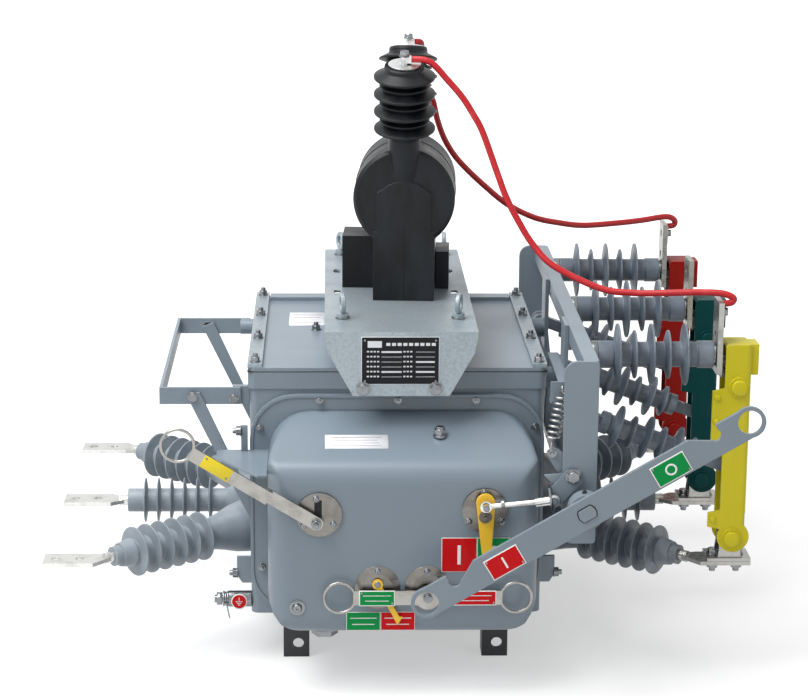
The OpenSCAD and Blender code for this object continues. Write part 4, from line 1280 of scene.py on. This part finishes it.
@dataclass
class Studio:
    """The camera, the soft lights and the pale floor."""

    eye: Triple = (-0.104284, -3.695217, 1.353950)
    yaw: float = 1.8866
    pitch: float = 13.9555
    roll: float = 0.4286
    lens: float = 105.37
    floor_size: float = 14.0
    lit: Triple = (0, 0, 0.45)

    def camera(self) -> None:
        """Sets up the camera in front of the operator's side."""
        yaw, pitch, roll = (radians(a) for a in (self.yaw, self.pitch, self.roll))
        ahead = Vector((sin(yaw) * cos(pitch), cos(yaw) * cos(pitch), -sin(pitch)))
        right = Vector((cos(yaw), -sin(yaw), 0))
        up = right.cross(ahead)
        across = cos(roll) * right + sin(roll) * up
        above = cos(roll) * up - sin(roll) * right
        data = bpy.data.cameras.new("camera")
        data.lens, data.sensor_width, data.clip_end = self.lens, 36.0, 50.0
        obj = shown("camera", data)
        turn = Matrix((across, above, -ahead)).transposed().to_4x4()
        obj.matrix_world = Matrix.Translation(Vector(self.eye) + Vector((0, TANK_MID_Y, 0))) @ turn
        bpy.context.scene.camera = obj

    def lamp(self, name: str, at: Triple, size: float, power: float) -> None:
        """Adds a square soft light that looks at the middle of the object.

        Args:
            name: The light's name.
            at: Its place in metres.
            size: Its side in metres.
            power: Its power in watts.
        """
        data = bpy.data.lights.new(name, "AREA")
        data.size, data.energy = size, power
        obj = shown(name, data)
        obj.location = at
        obj.rotation_mode = "QUATERNION"
        obj.rotation_quaternion = (Vector(self.lit) - Vector(at)).to_track_quat("-Z", "Y")

    def seen(self, tree: Tree) -> Node:
        """1 for rays from the camera, a mirror or glass, and 0 for light that the surface gives."""
        path = add(tree, "LightPath").outputs
        some = add(tree, "Math", {0: path["Is Camera Ray"], 1: path["Is Glossy Ray"]}, operation="MAXIMUM")
        return add(tree, "Math", {0: some, 1: path["Is Transmission Ray"]}, operation="MAXIMUM")

    def build(self) -> None:
        """Makes the world, the lights and the floor."""
        scene = bpy.context.scene
        scene.view_settings.view_transform = "Standard"
        scene.world = bpy.data.worlds.new("studio")
        tree = blank(scene.world)
        strength = add(tree, "MapRange", {"Value": self.seen(tree), "To Min": 0.52, "To Max": 1.0})
        back = add(tree, "Background", {"Color": (1, 1, 1, 1), "Strength": strength})
        add(tree, "OutputWorld", {"Surface": back})
        self.lamp("key", (-2.0, -2.3, 3.2), 1.6, 50)
        self.lamp("fill", (3.0, -2.2, 1.6), 2.4, 7)
        self.lamp("top", (-1.1, -0.4, 3.1), 2.0, 92)
        bpy.ops.object.select_all(action="DESELECT")
        bpy.ops.mesh.primitive_plane_add(size=self.floor_size, location=(0, 3.0, -0.0005))
        floor = rooted()
        floor.name = "floor"
        floor.data.materials.append(self.floor_material())
        floor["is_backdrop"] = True
        LOG.info("studio: camera, three lamps and a floor")

    def floor_material(self) -> bpy.types.Material:
        """A matte floor that keeps shadows and fades to white far from the object."""
        made = bpy.data.materials.new("pale_studio_floor")
        tree = blank(made)
        matte = add(tree, "BsdfDiffuse", {"Color": (0.62, 0.62, 0.62, 1)})
        place = add(tree, "TexCoord").outputs["Object"]
        away = add(tree, "VectorMath", {0: place}, operation="LENGTH").outputs["Value"]
        glow = add(tree, "MapRange", span(away, 0.9, 3.5, 0.46, 1.0))
        lift = add(tree, "Emission", {"Color": (1, 1, 1, 1), "Strength": glow})
        both = add(tree, "AddShader", {0: matte, 1: lift})
        shade = add(tree, "MixShader", {0: self.seen(tree), 1: matte, 2: both})
        add(tree, "OutputMaterial", {"Surface": shade})
        return made


# ---------------------------------------------------------------- leads


@dataclass
class Leads:
    """The two insulated leads from the transformer's caps to the outer upper terminals."""

    radius: float = 5.0
    steps: int = 14
    phase: float = 300.0
    end_x: float = 478.3
    end_z: float = 577.0
    front_route: tuple[Triple, ...] = (
        (50, -121, 911), (77, -127, 884), (99, -133, 859), (116, -139, 833), (130, -145, 807),
        (152, -163, 747), (165, -175, 713), (183, -186, 679), (205, -198, 645), (236, -218, 616),
        (303, -244, 588), (352, -258, 584), (398, -272, 587), (445, -285, 591), (478, -295, 591.5),
        (494, -300, 586), (492, -300, 579),
    )
    rear_route: tuple[Triple, ...] = (
        (45, 125, 912), (47, 142, 899), (49, 160, 877), (51, 173, 852), (57, 180, 830),
        (68, 178, 810), (75, 172, 781), (86, 168, 751), (102, 167, 724), (122, 168, 701),
        (152, 174, 672), (193, 186, 637), (240, 203, 611), (284, 222, 598), (328, 240, 590),
        (386, 260, 590), (431, 275, 592), (476, 293, 595), (492, 299, 588), (491, 300, 579),
    )

    def line(self, route: Sequence[Sequence[float]]) -> list[Vector]:
        """Rounds a route off.

        Args:
            route: The points it goes through in millimetres.

        Returns:
            Points in metres of the smooth curve through them.
        """
        pts = [spot(*p) for p in route]
        last = len(pts) - 1
        out = []
        for i in range(last):
            a, b, c, d = pts[max(i - 1, 0)], pts[i], pts[i + 1], pts[min(i + 2, last)]
            for t in (s / self.steps for s in range(self.steps)):
                bend = (2 * a - 5 * b + 4 * c - d) * t * t + (3 * b - a - 3 * c + d) * t**3
                out.append(0.5 * (2 * b + (c - a) * t + bend))
        return [*out, pts[last]]

    def lead(self, name: str, node: str, side: int, route: tuple[Triple, ...], finish: Finish) -> None:
        """Makes one lead.

        Args:
            name: The name of the piece.
            node: The solid that it replaces.
            side: -1 for the front phase and 1 for the rear one.
            route: The points between its ends.
            finish: Its sheath.
        """
        out, height = CAPS.top()
        start = (mm_box(node)[0].x, side * out, height + 7)
        pts = self.line([start, *route, (self.end_x, side * self.phase, self.end_z)])
        obj = tube(name, pts, self.radius, 6)
        obj.data.materials.append(finish.material())
        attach(obj, ROOT)
        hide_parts(node)

    def build(self) -> None:
        """Makes both leads."""
        self.lead("front_phase_lead", "front_lead", -1, self.front_route, FRONT_SHEATH)
        self.lead("rear_phase_lead", "rear_lead", 1, self.rear_route, REAR_SHEATH)


def main() -> None:
    """Builds the sub-assemblies in order and finds the object's bounds at the end."""
    logging.basicConfig(level=logging.INFO, format="%(name)s: %(message)s")
    studio = Studio()
    studio.camera()
    dress_nodes()
    Leads().build()
    fittings: list[Assembly] = [
        TankFittings(),
        MechanismFittings(),
        TransformerFittings(),
        SideFrameFittings(),
        TerminalFittings(),
        IsolatorFittings(),
    ]
    for assembly in fittings:
        assembly.build()
        assembly.dress()
    studio.build()
    corners()


if __name__ == "__main__":
    main()
